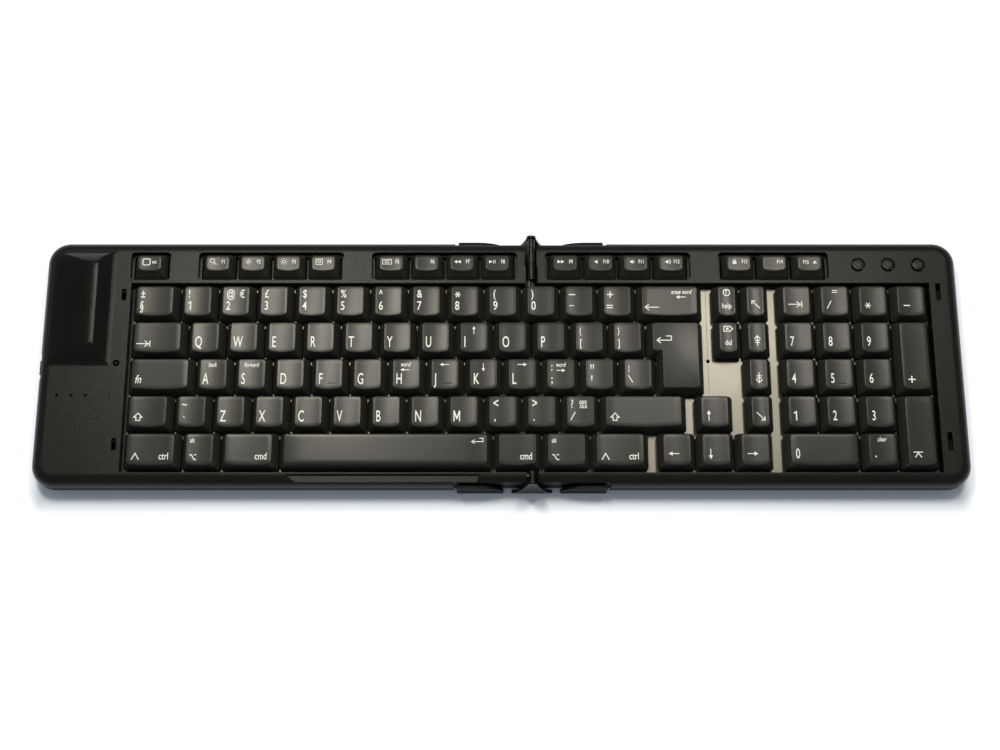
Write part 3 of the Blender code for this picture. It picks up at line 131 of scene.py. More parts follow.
class Shader:
    """One material's node tree."""

    def __init__(self, name, colour, roughness, metallic=0.0):
        self.material = bpy.data.materials.new(name)
        self.material.use_nodes = True
        self.tree = self.material.node_tree
        self.bsdf = self.tree.nodes["Principled BSDF"]
        self.set("Base Color", (*colour, 1.0))
        self.set("Roughness", roughness)
        self.set("Metallic", metallic)
        # The plain colour, for where the nodes aren't drawn
        self.material.diffuse_color = (*colour, 1.0)

    def set(self, name, value):
        if isinstance(value, Sock):
            self.tree.links.new(value.socket, self.bsdf.inputs[name])
        else:
            self.bsdf.inputs[name].default_value = value

    def node(self, kind, output=0, links=None, **values):
        """Any node: properties by name, inputs through links as a dict."""
        node = self.tree.nodes.new(kind)
        for name, value in values.items():
            setattr(node, name, value)
        for name, value in (links or {}).items():
            if isinstance(value, Sock):
                self.tree.links.new(value.socket, node.inputs[name])
            else:
                node.inputs[name].default_value = value
        return Sock(self.tree, node.outputs[output])

    def place(self):
        return self.node("ShaderNodeTexCoord", output="Object")

    def noise(self, scale, detail=2.0, roughness=0.5):
        return self.node("ShaderNodeTexNoise", links={
            "Vector": self.place(), "Scale": scale, "Detail": detail, "Roughness": roughness,
        })

    def blend(self, share, low, high):
        """A colour between two colours."""
        return self.node("ShaderNodeMix", output=2, data_type="RGBA", links={
            0: share, 6: (*low, 1.0), 7: (*high, 1.0),
        })

    def painted_shade_along(self, colour, axis, start_mm, stop_mm, least):
        """Painted shade: a colour that falls to a share of itself between two places along an axis, and that
        share.
        """
        place = self.node("ShaderNodeSeparateXYZ", output=axis, links={"Vector": self.place()})
        share = self.node("ShaderNodeMapRange", links={
            "Value": place, "From Min": start_mm * MM, "From Max": stop_mm * MM,
            "To Min": 1.0, "To Max": least,
        })
        return self.vector("SCALE", 0, colour, Scale=share), share

    def vector(self, operation, output, first, second=None, **more):
        """Vector Math on one or two vectors."""
        links = {0: first, **more}
        if second is not None:
            links[1] = second
        return self.node("ShaderNodeVectorMath", output=output, operation=operation, links=links)

    def bump(self, height, distance_mm):
        relief = self.node("ShaderNodeBump", links={"Height": height, "Distance": distance_mm * MM})
        self.set("Normal", relief)


# Noise scales per metre: broad shade on plastic, clouds and brushing on metal
BROAD_NOISE = 38.0
CLOUD_NOISE = 22.0
BRUSH_NOISE = 2600.0


def scaled(colour, factor):
    return tuple(channel * factor for channel in colour)


def moulded_plastic(name, colour, roughness, grain_mm, depth_mm, gloss, raised=1.0):
    """Grained plastic with faint broad changes of shade and gloss.

    Painted shade: above the deck only a share of its colour is left, raised, which darkens the battery
    housing and whatever else of this plastic stands higher; it is smoother there too.
    """
    shader = Shader(name, colour, roughness)
    shader.set("Specular IOR Level", gloss)
    broad = shader.noise(BROAD_NOISE, detail=3.0)
    shade = shader.blend(broad, scaled(colour, 0.88), scaled(colour, 1.12))
    finish = broad * 0.10 + (roughness - 0.05)
    # Painted shade: the colour falls to its share above the deck, and the roughness falls with it
    if raised < 1.0:
        shade, left = shader.painted_shade_along(shade, "Z", DECK_Z + 0.1, DECK_Z + 1.2, raised)
        finish = finish * (left * 0.7 + 0.3)
    shader.set("Base Color", shade)
    shader.set("Roughness", finish)
    shader.bump(shader.noise(1.0 / (grain_mm * MM), detail=3.0, roughness=0.6), depth_mm)
    return shader.material


def satin_metal(name, colour, roughness, metallic, painted_shade_from=None):
    """Brushed sheet; painted shade makes it nearly black behind a given place along Y, in millimetres, where
    the gaps round the back row's caps lie in shadow.
    """
    shader = Shader(name, colour, roughness, metallic)
    cloud = shader.noise(CLOUD_NOISE, detail=4.0)
    shade = shader.blend(cloud, scaled(colour, 0.90), scaled(colour, 1.10))
    # Painted shade under the back row
    if painted_shade_from is not None:
        shade, _ = shader.painted_shade_along(shade, "Y", painted_shade_from, painted_shade_from + 2.0, 0.10)
    shader.set("Base Color", shade)
    shader.set("Roughness", cloud * 0.16 + (roughness - 0.08))
    shader.bump(shader.noise(BRUSH_NOISE), 0.010)
    return shader.material


def plain(name, colour, roughness, metallic=0.0, grain_mm=0.5, depth_mm=0.005):
    shader = Shader(name, colour, roughness, metallic)
    shader.bump(shader.noise(1.0 / (grain_mm * MM)), depth_mm)
    return shader.material


MATERIALS = {}


def material(name):
    if name not in MATERIALS:
        raise RuntimeError(f"material {name} isn't made yet: run the materials operator first")
    return MATERIALS[name]


# Meshes

SHELL_SHARP = 35.0
CAP_SHARP = 50.0
BEVEL_FROM = 50.0


def circle(x, y, radius, sides):
    turn = 2.0 * math.pi / sides
    return [(x + radius * math.cos(turn * i), y + radius * math.sin(turn * i)) for i in range(sides)]


def rounded(corners, radii, segments):
    """Points around a polygon with right-angled corners rounded; inner corners curve the other way."""
    count = len(corners)
    points = []
    for i, corner in enumerate(corners):
        here = Vector(corner)
        before = (Vector(corners[i - 1]) - here).normalized()
        after = (Vector(corners[(i + 1) % count]) - here).normalized()
        radius = radii[i] if isinstance(radii, (list, tuple)) else radii
        if radius <= 0.0:
            points.append((here.x, here.y))
            continue
        centre = here + (before + after) * radius
        for k in range(segments + 1):
            angle = math.pi / 2.0 * k / segments
            point = centre - after * radius * math.cos(angle) - before * radius * math.sin(angle)
            points.append((point.x, point.y))
    return points


def box_corners(x0, x1, y0, y1):
    return [(x0, y0), (x1, y0), (x1, y1), (x0, y1)]


def add_rings(bm, rings, close_last=True):
    """A skin over rings of as many points, closed at its first ring and at its last one if asked."""
    layers = [[bm.verts.new(point) for point in ring] for ring in rings]
    count = len(layers[0])
    for low, high in zip(layers, layers[1:]):
        for i in range(count):
            j = (i + 1) % count
            bm.faces.new((low[i], low[j], high[j], high[i]))
    bm.faces.new(list(reversed(layers[0])))
    if close_last:
        bm.faces.new(layers[-1])
    return layers


def add_prism(bm, outline, z0, z1):
    add_rings(bm, [[(x, y, z0) for x, y in outline], [(x, y, z1) for x, y in outline]])


def add_box(bm, x0, x1, y0, y1, z0, z1):
    add_prism(bm, box_corners(x0, x1, y0, y1), z0, z1)


def add_collar(bm, outer, inner, z0, z1):
    """A flat ring between two outlines of as many points."""
    rings = ((outer, z0), (outer, z1), (inner, z1), (inner, z0))
    layers = [[bm.verts.new((x, y, z)) for x, y in outline] for outline, z in rings]
    for low, high in zip(layers, layers[1:] + layers[:1]):
        for i in range(len(low)):
            j = (i + 1) % len(low)
            bm.faces.new((low[i], low[j], high[j], high[i]))


def add_post(bm, x, y, z0, z1, radius, sides=32):
    add_prism(bm, circle(x, y, radius, sides), z0, z1)


def add_turned(bm, x, y, profile, sides):
    """A turned piece from (radius, height) pairs, bottom first."""
    add_rings(bm, [[(px, py, z) for px, py in circle(x, y, radius, sides)] for radius, z in profile])


def add_prism_y(bm, outline, y0, y1):
    add_rings(bm, [[(x, y1, z) for x, z in outline], [(x, y0, z) for x, z in outline]])


def ring_body(rings):
    bm = bmesh.new()
    add_rings(bm, rings)
    return bm


def bare_mesh(bm, name):
    """The mesh of bm as it is; bm is used up."""
    mesh = bpy.data.meshes.new(name)
    bm.to_mesh(mesh)
    bm.free()
    return mesh


def shaded(mesh, sharp_degrees):
    """A mesh that is smooth but for its sharp edges."""
    mesh.shade_smooth()
    mesh.set_sharp_from_angle(angle=math.radians(sharp_degrees))
    return mesh


def to_mesh(bm, name, sharp_degrees=SHELL_SHARP):
    """The finished mesh in metres, its faces outward."""
    bmesh.ops.recalc_face_normals(bm, faces=bm.faces)
    bmesh.ops.transform(bm, matrix=Matrix.Scale(MM, 4), verts=bm.verts)
    return shaded(bare_mesh(bm, name), sharp_degrees)


def linked_object(name, data):
    piece = bpy.data.objects.new(name, data)
    bpy.context.scene.collection.objects.link(piece)
    return piece


def place_piece(name, mesh, body, look, *replaced):
    """Link a finished mesh, give it its material and let it move with its body."""
    piece = linked_object(name, mesh)
    mesh.materials.clear()
    mesh.materials.append(material(look))
    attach(piece, body)
    if replaced:
        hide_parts(*replaced)


def evaluated_mesh(piece, name):
    """The mesh of a piece with its modifiers, after which the piece itself is removed."""
    graph = bpy.context.evaluated_depsgraph_get()
    mesh = bpy.data.meshes.new_from_object(piece.evaluated_get(graph))
    mesh.name = name
    bpy.data.objects.remove(piece, do_unlink=True)
    return mesh


def carve(name, body, steps):
    """A body in bm after unions and cuts, each given as (operation, bm)."""
    target = linked_object(name, to_mesh(body, name))
    tools = []
    for number, (operation, bm) in enumerate(steps):
        tool = linked_object(f"{name}_{number}", to_mesh(bm, f"{name}_{number}"))
        tools.append(tool)
        modifier = target.modifiers.new(str(number), "BOOLEAN")
        modifier.operation = operation
        modifier.solver = "EXACT"
        modifier.object = tool
    mesh = evaluated_mesh(target, name)
    for tool in tools:
        bpy.data.objects.remove(tool, do_unlink=True)
    return mesh


def soften(mesh, name, chosen, width):
    """Round the sharp edges that the test picks, in millimetres, and give the mesh back shaded."""
    bm = bmesh.new()
    bm.from_mesh(mesh)
    bmesh.ops.transform(bm, matrix=Matrix.Scale(1.0 / MM, 4), verts=bm.verts)
    bmesh.ops.remove_doubles(bm, verts=bm.verts, dist=0.0005)
    bmesh.ops.dissolve_limit(bm, angle_limit=math.radians(0.5), verts=bm.verts, edges=bm.edges)
    sharp = math.radians(BEVEL_FROM)
    edges = []
    for edge in bm.edges:
        if len(edge.link_faces) == 2 and edge.calc_face_angle(0.0) > sharp and chosen(edge):
            edges.append(edge)
    if edges:
        bmesh.ops.bevel(
            bm, geom=edges, offset=width, segments=2, profile=0.5, affect="EDGES", clamp_overlap=True,
        )
    piece = linked_object(name, to_mesh(bm, name))
    modifier = piece.modifiers.new("flat faces stay flat", "WEIGHTED_NORMAL")
    modifier.keep_sharp = True
    return evaluated_mesh(piece, name)


# Where everything is

def hinge_side(x):
    """A place along X from a distance to the hinge line."""
    return x + HINGE_X


def span(side, near, far):
    """The low and high X between two distances from the hinge line, on one half."""
    return sorted((hinge_side(SIGN[side] * near), hinge_side(SIGN[side] * far)))


def front_and_back(near, far):
    """The low and high Y between two distances from the middle, in front and behind."""
    return ((-far, -near), (near, far))


def row_y(row):
    return ROW_0_Y - row * PITCH


def unit_x(unit):
    """A place along X from a column of the grid of keys."""
    return hinge_side((unit - HINGE_UNIT) * PITCH)


def f_blocks(side):
    """Each block of the back row: its number of caps, and the distances of its first and last one."""
    blocks = []
    near = F_FIRST
    for count in F_BLOCKS[side]:
        far = near + (count - 1) * F_PITCH
        blocks.append((count, near, far))
        near = far + F_BLOCK_STEP
    return blocks


class Key:
    """One cap: its place, its base and top sizes, and what is printed on it."""

    def __init__(self, x, y, base, top, shift, dish, legends, node=None):
        self.x = x
        self.y = y
        self.base = base
        self.top = top
        self.shift = shift
        self.dish = dish
        self.legends = legends
        self.node = node

    def size_class(self):
        return (round(self.base[0], 2), round(self.base[1], 2), round(self.top[0], 2), self.dish)

    def surface(self, x):
        """Height of the top at a distance from the key's middle."""
        side = share_off_middle(x, self.top[0])
        return KEY_TOP_Z - self.dish * (1.0 - side * side)


# Caps of this width or more, in columns, have half the hollow
WIDE_FROM = 1.6


def main_key(row, left, right, legends, rows=1, dish=None, node=None):
    """A cap from its row and its left and right columns."""
    width = (right - left) * PITCH
    depth = rows * PITCH
    settings = bpy.context.scene.keyboard_caps
    if dish is None:
        dish = settings.dish if rows == 1 and right - left < WIDE_FROM else settings.dish / 2.0
    return Key(
        unit_x((left + right) / 2.0),
        row_y(row) - (rows - 1) * PITCH / 2.0,
        (width - CAP_GAP, depth - CAP_GAP),
        (width - SIDE_TAPER, depth - DEPTH_TAPER),
        TOP_SHIFT,
        dish,
        legends,
        node,
    )


# Printed signs, each as (kind, content, x, y, size, width, slant). The place is measured from the left
# and front edges of the cap's top: to a text's left end and foot, and to a sign's middle.

WORD_WIDTH = 0.72
DIGIT_WIDTH = 0.62
PRINTED = {
    "1": "one", "-": "minus", "–": "minus", "+": "plus", "=": "equals", "'": "quote", '"': "quotes",
    "/": "slash", "*": "star", "\\": "backslash",
}
SHIFTED_SIZES = {"{": 3.0, "}": 3.0, "|": 2.8, "<": 4.8, ">": 4.8}


def letter(text):
    return sign("M", 3.2, 4.65, 1.08) if text == "M" else ("text", text, 1.6, 1.9, 5.6, 0.55, 0.0)


def number(text):
    if text in PRINTED:
        return sign(PRINTED[text], 2.9, 4.0 if text == "=" else 4.5, 0.75 if text == "-" else 1.0)
    return ("text", text, 1.8, 2.3, 3.7 if text in "[]" else 4.5, WORD_WIDTH, 0.0)


def shifted(text):
    if text in PRINTED:
        return sign(PRINTED[text], 3.2, 10.3)
    return ("text", text, 1.8, 8.8, SHIFTED_SIZES.get(text, 4.1), WORD_WIDTH, 0.0)


def low_mark(text, up=2.3):
    return ("text", text, 2.4, up, 4.2, WORD_WIDTH, 0.0)


def small_word(text, x, y, size=2.3):
    return ("text", text, x, y, size, 0.66, 0.28)


def word(text, x, y, size=3.4, width=WORD_WIDTH):
    return ("text", text, x, y, size, width, 0.0)


def sign(name, x, y, scale=1.0):
    return ("sign", name, x, y, scale, 1.0, 0.0)


# Each sign: open strokes as lines, closed ones as loops, filled outlines as fills, and how thick its
# strokes are against the usual ones.
SIGNS = {
    "M": {"fills": [[
        (-1.5, -2.55), (-1.0, -2.55), (-1.0, 0.95), (-0.22, -1.5), (0.22, -1.5), (1.0, 0.95), (1.0, -2.55),
        (1.5, -2.55), (1.5, 2.55), (0.95, 2.55), (0.0, -0.4), (-0.95, 2.55), (-1.5, 2.55),
    ]]},
    "one": {"fills": [[
        (-0.05, -2.25), (0.55, -2.25), (0.55, 2.25), (0.05, 2.25), (-0.95, 1.45), (-0.95, 0.85), (-0.05, 1.4),
    ]]},
    "slash": {"lines": [[(-1.1, -2.0), (1.1, 2.1)]]},
    "backslash": {"lines": [[(-1.1, 2.0), (1.1, -1.9)]]},
    "star": {"lines": [
        [(-1.5, 0.0), (1.5, 0.0)], [(-0.8, -1.35), (0.8, 1.35)], [(-0.8, 1.35), (0.8, -1.35)],
    ]},
    "minus": {"fills": [box_corners(-1.6, 1.6, -0.27, 0.27)]},
    "plus": {"fills": [
        box_corners(-1.6, 1.6, -0.27, 0.27),
        box_corners(-0.27, 0.27, 0.27, 1.6),
        box_corners(-0.27, 0.27, -1.6, -0.27),
    ]},
    "equals": {"fills": [box_corners(-1.6, 1.6, 0.35, 0.87), box_corners(-1.6, 1.6, -0.87, -0.35)]},
    "quote": {"fills": [[(-0.3, -0.9), (0.1, -0.9), (0.4, 1.7), (-0.3, 1.7)]]},
    "quotes": {"fills": [
        [(-0.9, -0.7), (-0.55, -0.7), (-0.3, 1.6), (-0.95, 1.6)],
        [(0.3, -0.7), (0.65, -0.7), (0.9, 1.6), (0.25, 1.6)],
    ]},
    "left": {"lines": [[(-0.9, 0.0), (2.6, 0.0)]], "fills": [[(-2.9, 0.0), (-0.9, 1.1), (-0.9, -1.1)]]},
    "left_open": {"lines": [[(-3.4, 0.0), (3.4, 0.0)], [(-1.6, 1.5), (-3.5, 0.0), (-1.6, -1.5)]]},
    "tab": {"lines": [
        [(-3.4, 0.0), (2.7, 0.0)], [(0.7, 1.5), (2.7, 0.0), (0.7, -1.5)], [(3.3, -1.6), (3.3, 1.6)],
    ]},
    "return": {"lines": [
        [(-3.6, 0.0), (3.5, 0.0), (3.5, 2.2), (0.9, 2.2)], [(-1.8, 1.5), (-3.7, 0.0), (-1.8, -1.5)],
    ]},
    "return_small": {
        "stroke": 0.8,
        "lines": [
            [(-2.2, 0.0), (2.7, 0.0), (2.7, 1.7), (1.0, 1.7)], [(-1.4, 1.0), (-2.8, 0.0), (-1.4, -1.0)],
        ],
    },
    "shift": {"loops": [[
        (-2.0, 0.0), (0.0, 2.1), (2.0, 0.0), (0.95, 0.0), (0.95, -1.6), (-0.95, -1.6), (-0.95, 0.0),
    ]]},
    "caret": {"lines": [[(-1.5, -1.3), (0.0, 1.3), (1.5, -1.3)]]},
    "option": {"lines": [[(-1.7, 1.2), (-0.7, 1.2), (0.7, -1.2), (1.7, -1.2)], [(0.5, 1.2), (1.7, 1.2)]]},
    "home": {"lines": [[(2.0, -2.0), (-1.9, 1.9)], [(-1.9, 0.1), (-1.9, 1.9), (-0.1, 1.9)]]},
    "end": {"lines": [[(-2.0, 2.0), (1.9, -1.9)], [(1.9, -0.1), (1.9, -1.9), (0.1, -1.9)]]},
    "page_up": {"lines": [
        [(0.0, -2.6), (0.0, 2.6)], [(-1.5, 0.9), (0.0, 2.6), (1.5, 0.9)],
        [(-1.2, 0.2), (1.2, 0.2)], [(-1.2, -0.9), (1.2, -0.9)],
    ]},
    "pad_enter": {"lines": [[(-2.3, 1.3), (2.3, 1.3)], [(-1.6, -1.4), (0.0, 0.9), (1.6, -1.4)]]},
    "delete": {
        "loops": [[(-2.2, -1.3), (0.9, -1.3), (2.2, 0.0), (0.9, 1.3), (-2.2, 1.3)]],
        "lines": [[(-1.2, -0.6), (0.2, 0.6)], [(-1.2, 0.6), (0.2, -0.6)]],
    },
    "ring": {"loops": [circle(0.0, 0.0, 1.65, 20)]},
    "square": {"loops": [rounded(box_corners(-1.5, 1.5, -1.35, 1.35), 0.6, 3)]},
    "magnifier": {
        "stroke": 0.7,
        "loops": [circle(-0.4, 0.4, 1.05, 16)],
        "lines": [[(0.4, -0.4), (1.6, -1.5)]],
    },
    "keyboard": {
        "stroke": 0.7,
        "loops": [box_corners(-2.1, 2.1, -1.2, 1.2)],
        "lines": [[(-1.4, 0.4), (1.4, 0.4)], [(-1.0, -0.4), (1.0, -0.4)]],
    },
    "window": {"stroke": 0.7, "loops": [box_corners(-1.5, 1.5, -1.4, 1.4), circle(0.0, 0.1, 0.7, 8)]},
    "back": {"fills": [[(-1.7, 0.0), (-0.1, 0.85), (-0.1, -0.85)], [(0.0, 0.0), (1.6, 0.85), (1.6, -0.85)]]},
    "play": {
        "stroke": 0.7,
        "fills": [[(-1.8, 0.85), (-0.2, 0.0), (-1.8, -0.85)]],
        "lines": [[(0.3, -0.85), (0.3, 0.85)], [(1.1, -0.85), (1.1, 0.85)]],
    },
    "forward": {"fills": [
        [(1.7, 0.0), (0.1, -0.85), (0.1, 0.85)], [(0.0, 0.0), (-1.6, -0.85), (-1.6, 0.85)],
    ]},
    "speaker": {"fills": [[(-0.9, 0.0), (0.7, 0.95), (0.7, -0.95)]]},
    "lock": {
        "stroke": 0.7,
        "fills": [box_corners(-0.9, 0.9, -1.1, 0.2)],
        "lines": [[(-0.5, 0.2), (-0.5, 0.95), (0.5, 0.95), (0.5, 0.2)]],
    },
    "eject": {"fills": [[(-1.1, -0.1), (1.1, -0.1), (0.0, 1.0)], box_corners(-1.1, 1.1, -0.75, -0.35)]},
}


def turned_sign(points, quarter):
    """A sign's points after quarter turns."""
    for _ in range(quarter):
        points = [(-y, x) for x, y in points]
    return points


for quarter, direction in ((1, "down"), (2, "right"), (3, "up")):
    SIGNS[direction] = {
        "lines": [turned_sign(line, quarter) for line in SIGNS["left"]["lines"]],
        "fills": [turned_sign(fill, quarter) for fill in SIGNS["left"]["fills"]],
    }
SIGNS["page_down"] = {"lines": [[(x, -y) for x, y in line] for line in SIGNS["page_up"]["lines"]]}


def sun_sign(inner, outer):
    """A small ring with eight rays between two radii."""
    lines = []
    for i in range(8):
        angle = math.pi / 4.0 * i
        lines.append([
            (inner * math.cos(angle), inner * math.sin(angle)),
            (outer * math.cos(angle), outer * math.sin(angle)),
        ])
    return {"stroke": 0.55, "loops": [circle(0.0, 0.0, inner * 0.62, 12)], "lines": lines}


def waves_sign(count):
    """A speaker with sound waves."""
    lines = []
    for i in range(count):
        radius = 0.8 + 0.65 * i
        arc = [math.radians(-50.0 + 20.0 * k) for k in range(6)]
        lines.append([(0.5 + radius * math.cos(a), radius * math.sin(a)) for a in arc])
    return {"stroke": 0.6, "fills": SIGNS["speaker"]["fills"], "lines": lines}


SIGNS["sun_small"] = sun_sign(0.95, 1.45)
SIGNS["sun"] = sun_sign(1.1, 1.85)
SIGNS["volume_1"] = waves_sign(1)
SIGNS["volume_2"] = waves_sign(2)


def left_keys():
    """Every cap of the left half."""
    keys = [main_key(0, 0.0, 1.25, [number("§"), shifted("±")])]
    for i, (low, high) in enumerate(zip("123456789", "!@£$%^&*(")):
        legends = [number(low), shifted(high)]
        if low == "2":
            legends.append(("text", "€", 8.4, 8.6, 4.1, WORD_WIDTH, 0.0))
        keys.append(main_key(0, 1.25 + i, 2.25 + i, legends))
    keys.append(main_key(1, 0.0, 1.5, [sign("tab", 4.6, 3.6)]))
    extras = {
        "I": [sign("up", 6.6, 10.6, 0.75)],
        "A": [small_word("back", 4.1, 10.7)],
        "S": [small_word("forward", 2.8, 10.7)],
        "H": [small_word("word", 3.8, 10.9), sign("left", 6.1, 9.2, 0.8)],
        "J": [sign("left", 6.6, 11.9, 0.85)],
        "K": [sign("down", 6.6, 10.6, 0.75)],
        "L": [sign("right", 6.6, 11.9, 0.85)],
    }
    for row, start, letters in ((1, 1.5, "QWERTYUIO"), (2, 1.75, "ASDFGHJKL"), (3, 2.25, "ZXCVBNM")):
        for i, text in enumerate(letters):
            legends = [letter(text)] + extras.get(text, [])
            keys.append(main_key(row, start + i, start + i + 1.0, legends, node=f"key_{text.lower()}"))
    keys.append(main_key(2, 0.0, 1.75, [("text", "fn", 1.6, 2.3, 4.1, WORD_WIDTH, 0.25)]))
    keys.append(main_key(3, 0.0, 1.25, [sign("shift", 4.4, 4.0)]))
    keys.append(main_key(3, 1.25, 2.25, [low_mark("`", 0.6), shifted("~")]))
    keys.append(main_key(3, 9.25, 10.25, [low_mark(","), shifted("<")]))
    keys.append(main_key(4, 0.0, 1.5, [sign("caret", 4.2, 3.3, 1.2), word("ctrl", 15.6, 1.9)]))
    keys.append(main_key(4, 1.5, 2.5, [sign("option", 3.7, 3.0), word("alt", 1.9, 10.3, 2.3)]))
    keys.append(main_key(4, 2.5, 4.0, [word("cmd", 14.6, 1.9)]))
    keys.append(main_key(4, 4.0, 9.5, [sign("return_small", 94.3, 10.7)], dish=0.0, node="space_bar"))
    keys.append(main_key(4, 9.5, 10.75, [word("cmd", 10.2, 1.9)]))
    return keys


def right_keys():
    """Every cap of the right half but the stepped return key."""
    keys = []
    for i, (low, high) in enumerate((("0", ")"), ("-", "–"), ("=", "+"))):
        keys.append(main_key(0, 10.25 + i, 11.25 + i, [number(low), shifted(high)]))
    erase = [sign("left_open", 5.0, 3.6), small_word("erase word", 14.6, 10.6), sign("left", 19.6, 9.0, 0.9)]
    keys.append(main_key(0, 13.25, 15.0, erase, node="backspace_key"))
    keys.append(main_key(1, 10.5, 11.5, [letter("P")], node="key_p"))
    for i, (low, high) in enumerate((("[", "{"), ("]", "}"))):
        keys.append(main_key(1, 11.5 + i, 12.5 + i, [number(low), shifted(high)]))
    ahead = [small_word("word", 4.2, 10.7), sign("right", 6.6, 8.9, 0.8)]
    for i, (low, high) in enumerate(((";", ":"), ("'", '"'), ("\\", "|"))):
        legends = [number(low), shifted(high)] + (ahead if low == ";" else [])
        keys.append(main_key(2, 10.75 + i, 11.75 + i, legends))
    keys.append(main_key(3, 10.25, 11.25, [low_mark("."), shifted(">")]))
    caps = [number("/"), shifted("?"), small_word("caps", 5.8, 10.9), small_word("lock", 6.1, 8.6)]
    keys.append(main_key(3, 11.25, 12.25, caps))
    keys.append(main_key(3, 12.25, 14.5, [sign("shift", 4.4, 4.0)]))
    keys.append(main_key(4, 10.75, 12.0, [sign("option", 3.7, 3.0), word("alt", 1.9, 10.3, 2.3)]))
    keys.append(main_key(4, 12.0, 13.5, [sign("caret", 4.2, 3.3, 1.2), word("ctrl", 15.6, 1.9)]))
    lifebelt = [sign("ring", 4.3, 11.4), word("?", 3.5, 10.3, 2.6, 0.9), word("help", 1.7, 3.1, 2.8)]
    keys.append(main_key(0, 15.25, 16.0, lifebelt))
    keys.append(main_key(1, 15.25, 16.0, [sign("delete", 4.4, 11.4), word("del", 2.6, 2.9, 2.8)]))
    for row, name, up in ((0, "home", 5.1), (1, "page_up", 5.2), (2, "page_down", 5.2), (3, "end", 4.5)):
        keys.append(main_key(row, 16.0, 16.75, [sign(name, 4.4, up)]))
    keys.append(main_key(3, 14.7, 15.7, [sign("up", 3.7, 4.8, 0.95)]))
    for i, name in enumerate(("left", "down", "right")):
        keys.append(main_key(4, 13.7 + i, 14.7 + i, [sign(name, 5.2 if name != "down" else 3.9, 4.8, 0.95)]))
    keys.append(main_key(0, PAD_UNIT, PAD_UNIT + 1.0, [sign("tab", 6.0, 5.2)]))
    divide = [sign("slash", 3.9, 4.9), sign("equals", 7.0, 12.0, 0.8)]
    pad_top = (divide, [sign("star", 4.2, 4.6)], [sign("minus", 4.6, 4.6)])
    for i, legends in enumerate(pad_top):
        keys.append(main_key(0, PAD_UNIT + 1.0 + i, PAD_UNIT + 2.0 + i, legends))
    for row, digits in ((1, "789"), (2, "456"), (3, "123")):
        for i, digit in enumerate(digits):
            legend = sign("one", 3.4, 4.8, 1.05) if digit == "1" else word(digit, 2.4, 2.5, 4.9, DIGIT_WIDTH)
            keys.append(main_key(row, PAD_UNIT + i, PAD_UNIT + i + 1.0, [legend]))
    keys.append(main_key(4, PAD_UNIT, PAD_UNIT + 2.0, [word("0", 2.3, 2.4, 4.9, DIGIT_WIDTH)]))
    point = [word(".", 2.6, 3.0, 5.0), small_word("clear", 4.3, 10.9)]
    keys.append(main_key(4, PAD_UNIT + 2.0, PAD_UNIT + 3.0, point))
    keys.append(main_key(1, PAD_UNIT + 3.0, PAD_UNIT + 4.0, [sign("plus", 4.3, 4.2, 1.1)], rows=2))
    keys.append(main_key(3, PAD_UNIT + 3.0, PAD_UNIT + 4.0, [sign("pad_enter", 4.7, 4.2)], rows=2))
    return keys


F_SIGNS = {
    1: "magnifier", 2: "sun_small", 3: "sun", 4: "window", 5: "keyboard", 7: "back", 8: "play",
    9: "forward", 10: "speaker", 11: "volume_1", 12: "volume_2", 13: "lock",
}
FIRST_F = {"left": 0, "right": 9}
LAST_F = 15


def f_keys(side):
    """The small keys of the back row, which are numbered from the left; the first one is escape."""
    centres = []
    for count, near, _ in f_blocks(side):
        centres += [hinge_side(SIGN[side] * (near + i * F_PITCH)) for i in range(count)]
    keys = []
    for order, x in enumerate(sorted(centres), FIRST_F[side]):
        if order == 0:
            legends = [sign("square", 4.3, 4.0, 1.2), small_word("esc", 7.0, 3.2, 1.9)]
        elif order == LAST_F:
            legends = [word(f"F{order}", 2.6, 3.0, 2.0), sign("eject", 8.6, 3.8, 0.85)]
        else:
            legends = [word(f"F{order}", 7.8 if order < 10 else 7.2, 3.2, 2.0)]
            if order in F_SIGNS:
                legends.append(sign(F_SIGNS[order], 3.7, 4.1, 1.05))
        dish = bpy.context.scene.keyboard_caps.dish / 2.0
        keys.append(Key(x, F_ROW_Y, F_CAP_BASE, F_CAP_TOP, F_TOP_SHIFT, dish, legends))
    return keys


def keys_of(side):
    return (left_keys() if side == "left" else right_keys()) + f_keys(side)


# Caps

def edge_points(width, depth, radius, segments, across, along):
    """A rounded rectangle about the origin with extra points on its straight edges."""
    w = width / 2.0
    d = depth / 2.0
    radius = min(radius, w * 0.95, d * 0.95)
    corners = rounded(box_corners(-w, w, -d, d), radius, segments)
    points = []
    per_corner = segments + 1
    for corner in range(4):
        arc = corners[corner * per_corner:(corner + 1) * per_corner]
        points += arc
        start = Vector(arc[-1])
        stop = Vector(corners[((corner + 1) % 4) * per_corner])
        steps = across if corner % 2 == 0 else along
        for k in range(1, steps):
            point = start.lerp(stop, k / steps)
            points.append((point.x, point.y))
    return points


# A cap's rings. The underside's edge is drawn in; the skirt, as (share of the height, inset, share of
# the hollow), bulges a little; the rim, as (inset, drop), is given in shares of its radius. The top has
# rings at these shares of its rim's, and strips of about this width that follow the hollow.
UNDER_INSET = 1.0
UNDER_LIFT = 0.05
SKIRT_RINGS = ((0.0, 0.0, 0.0), (0.35, -0.12, 0.15), (0.7, -0.10, 0.6))
RETURN_SKIRT_RINGS = ((0.0, 0.0), (0.5, -0.12))
RIM_RINGS = ((-0.10, 1.0), (0.08, 0.42), (0.42, 0.10), (1.0, 0.0))
TOP_SHARES = (0.78, 0.5, 0.22)
TOP_STRIP = 2.2


def share_off_middle(x, width):
    """0 in the middle of a cap's top, -1 and 1 at its sides."""
    return max(-1.0, min(1.0, 2.0 * x / width))


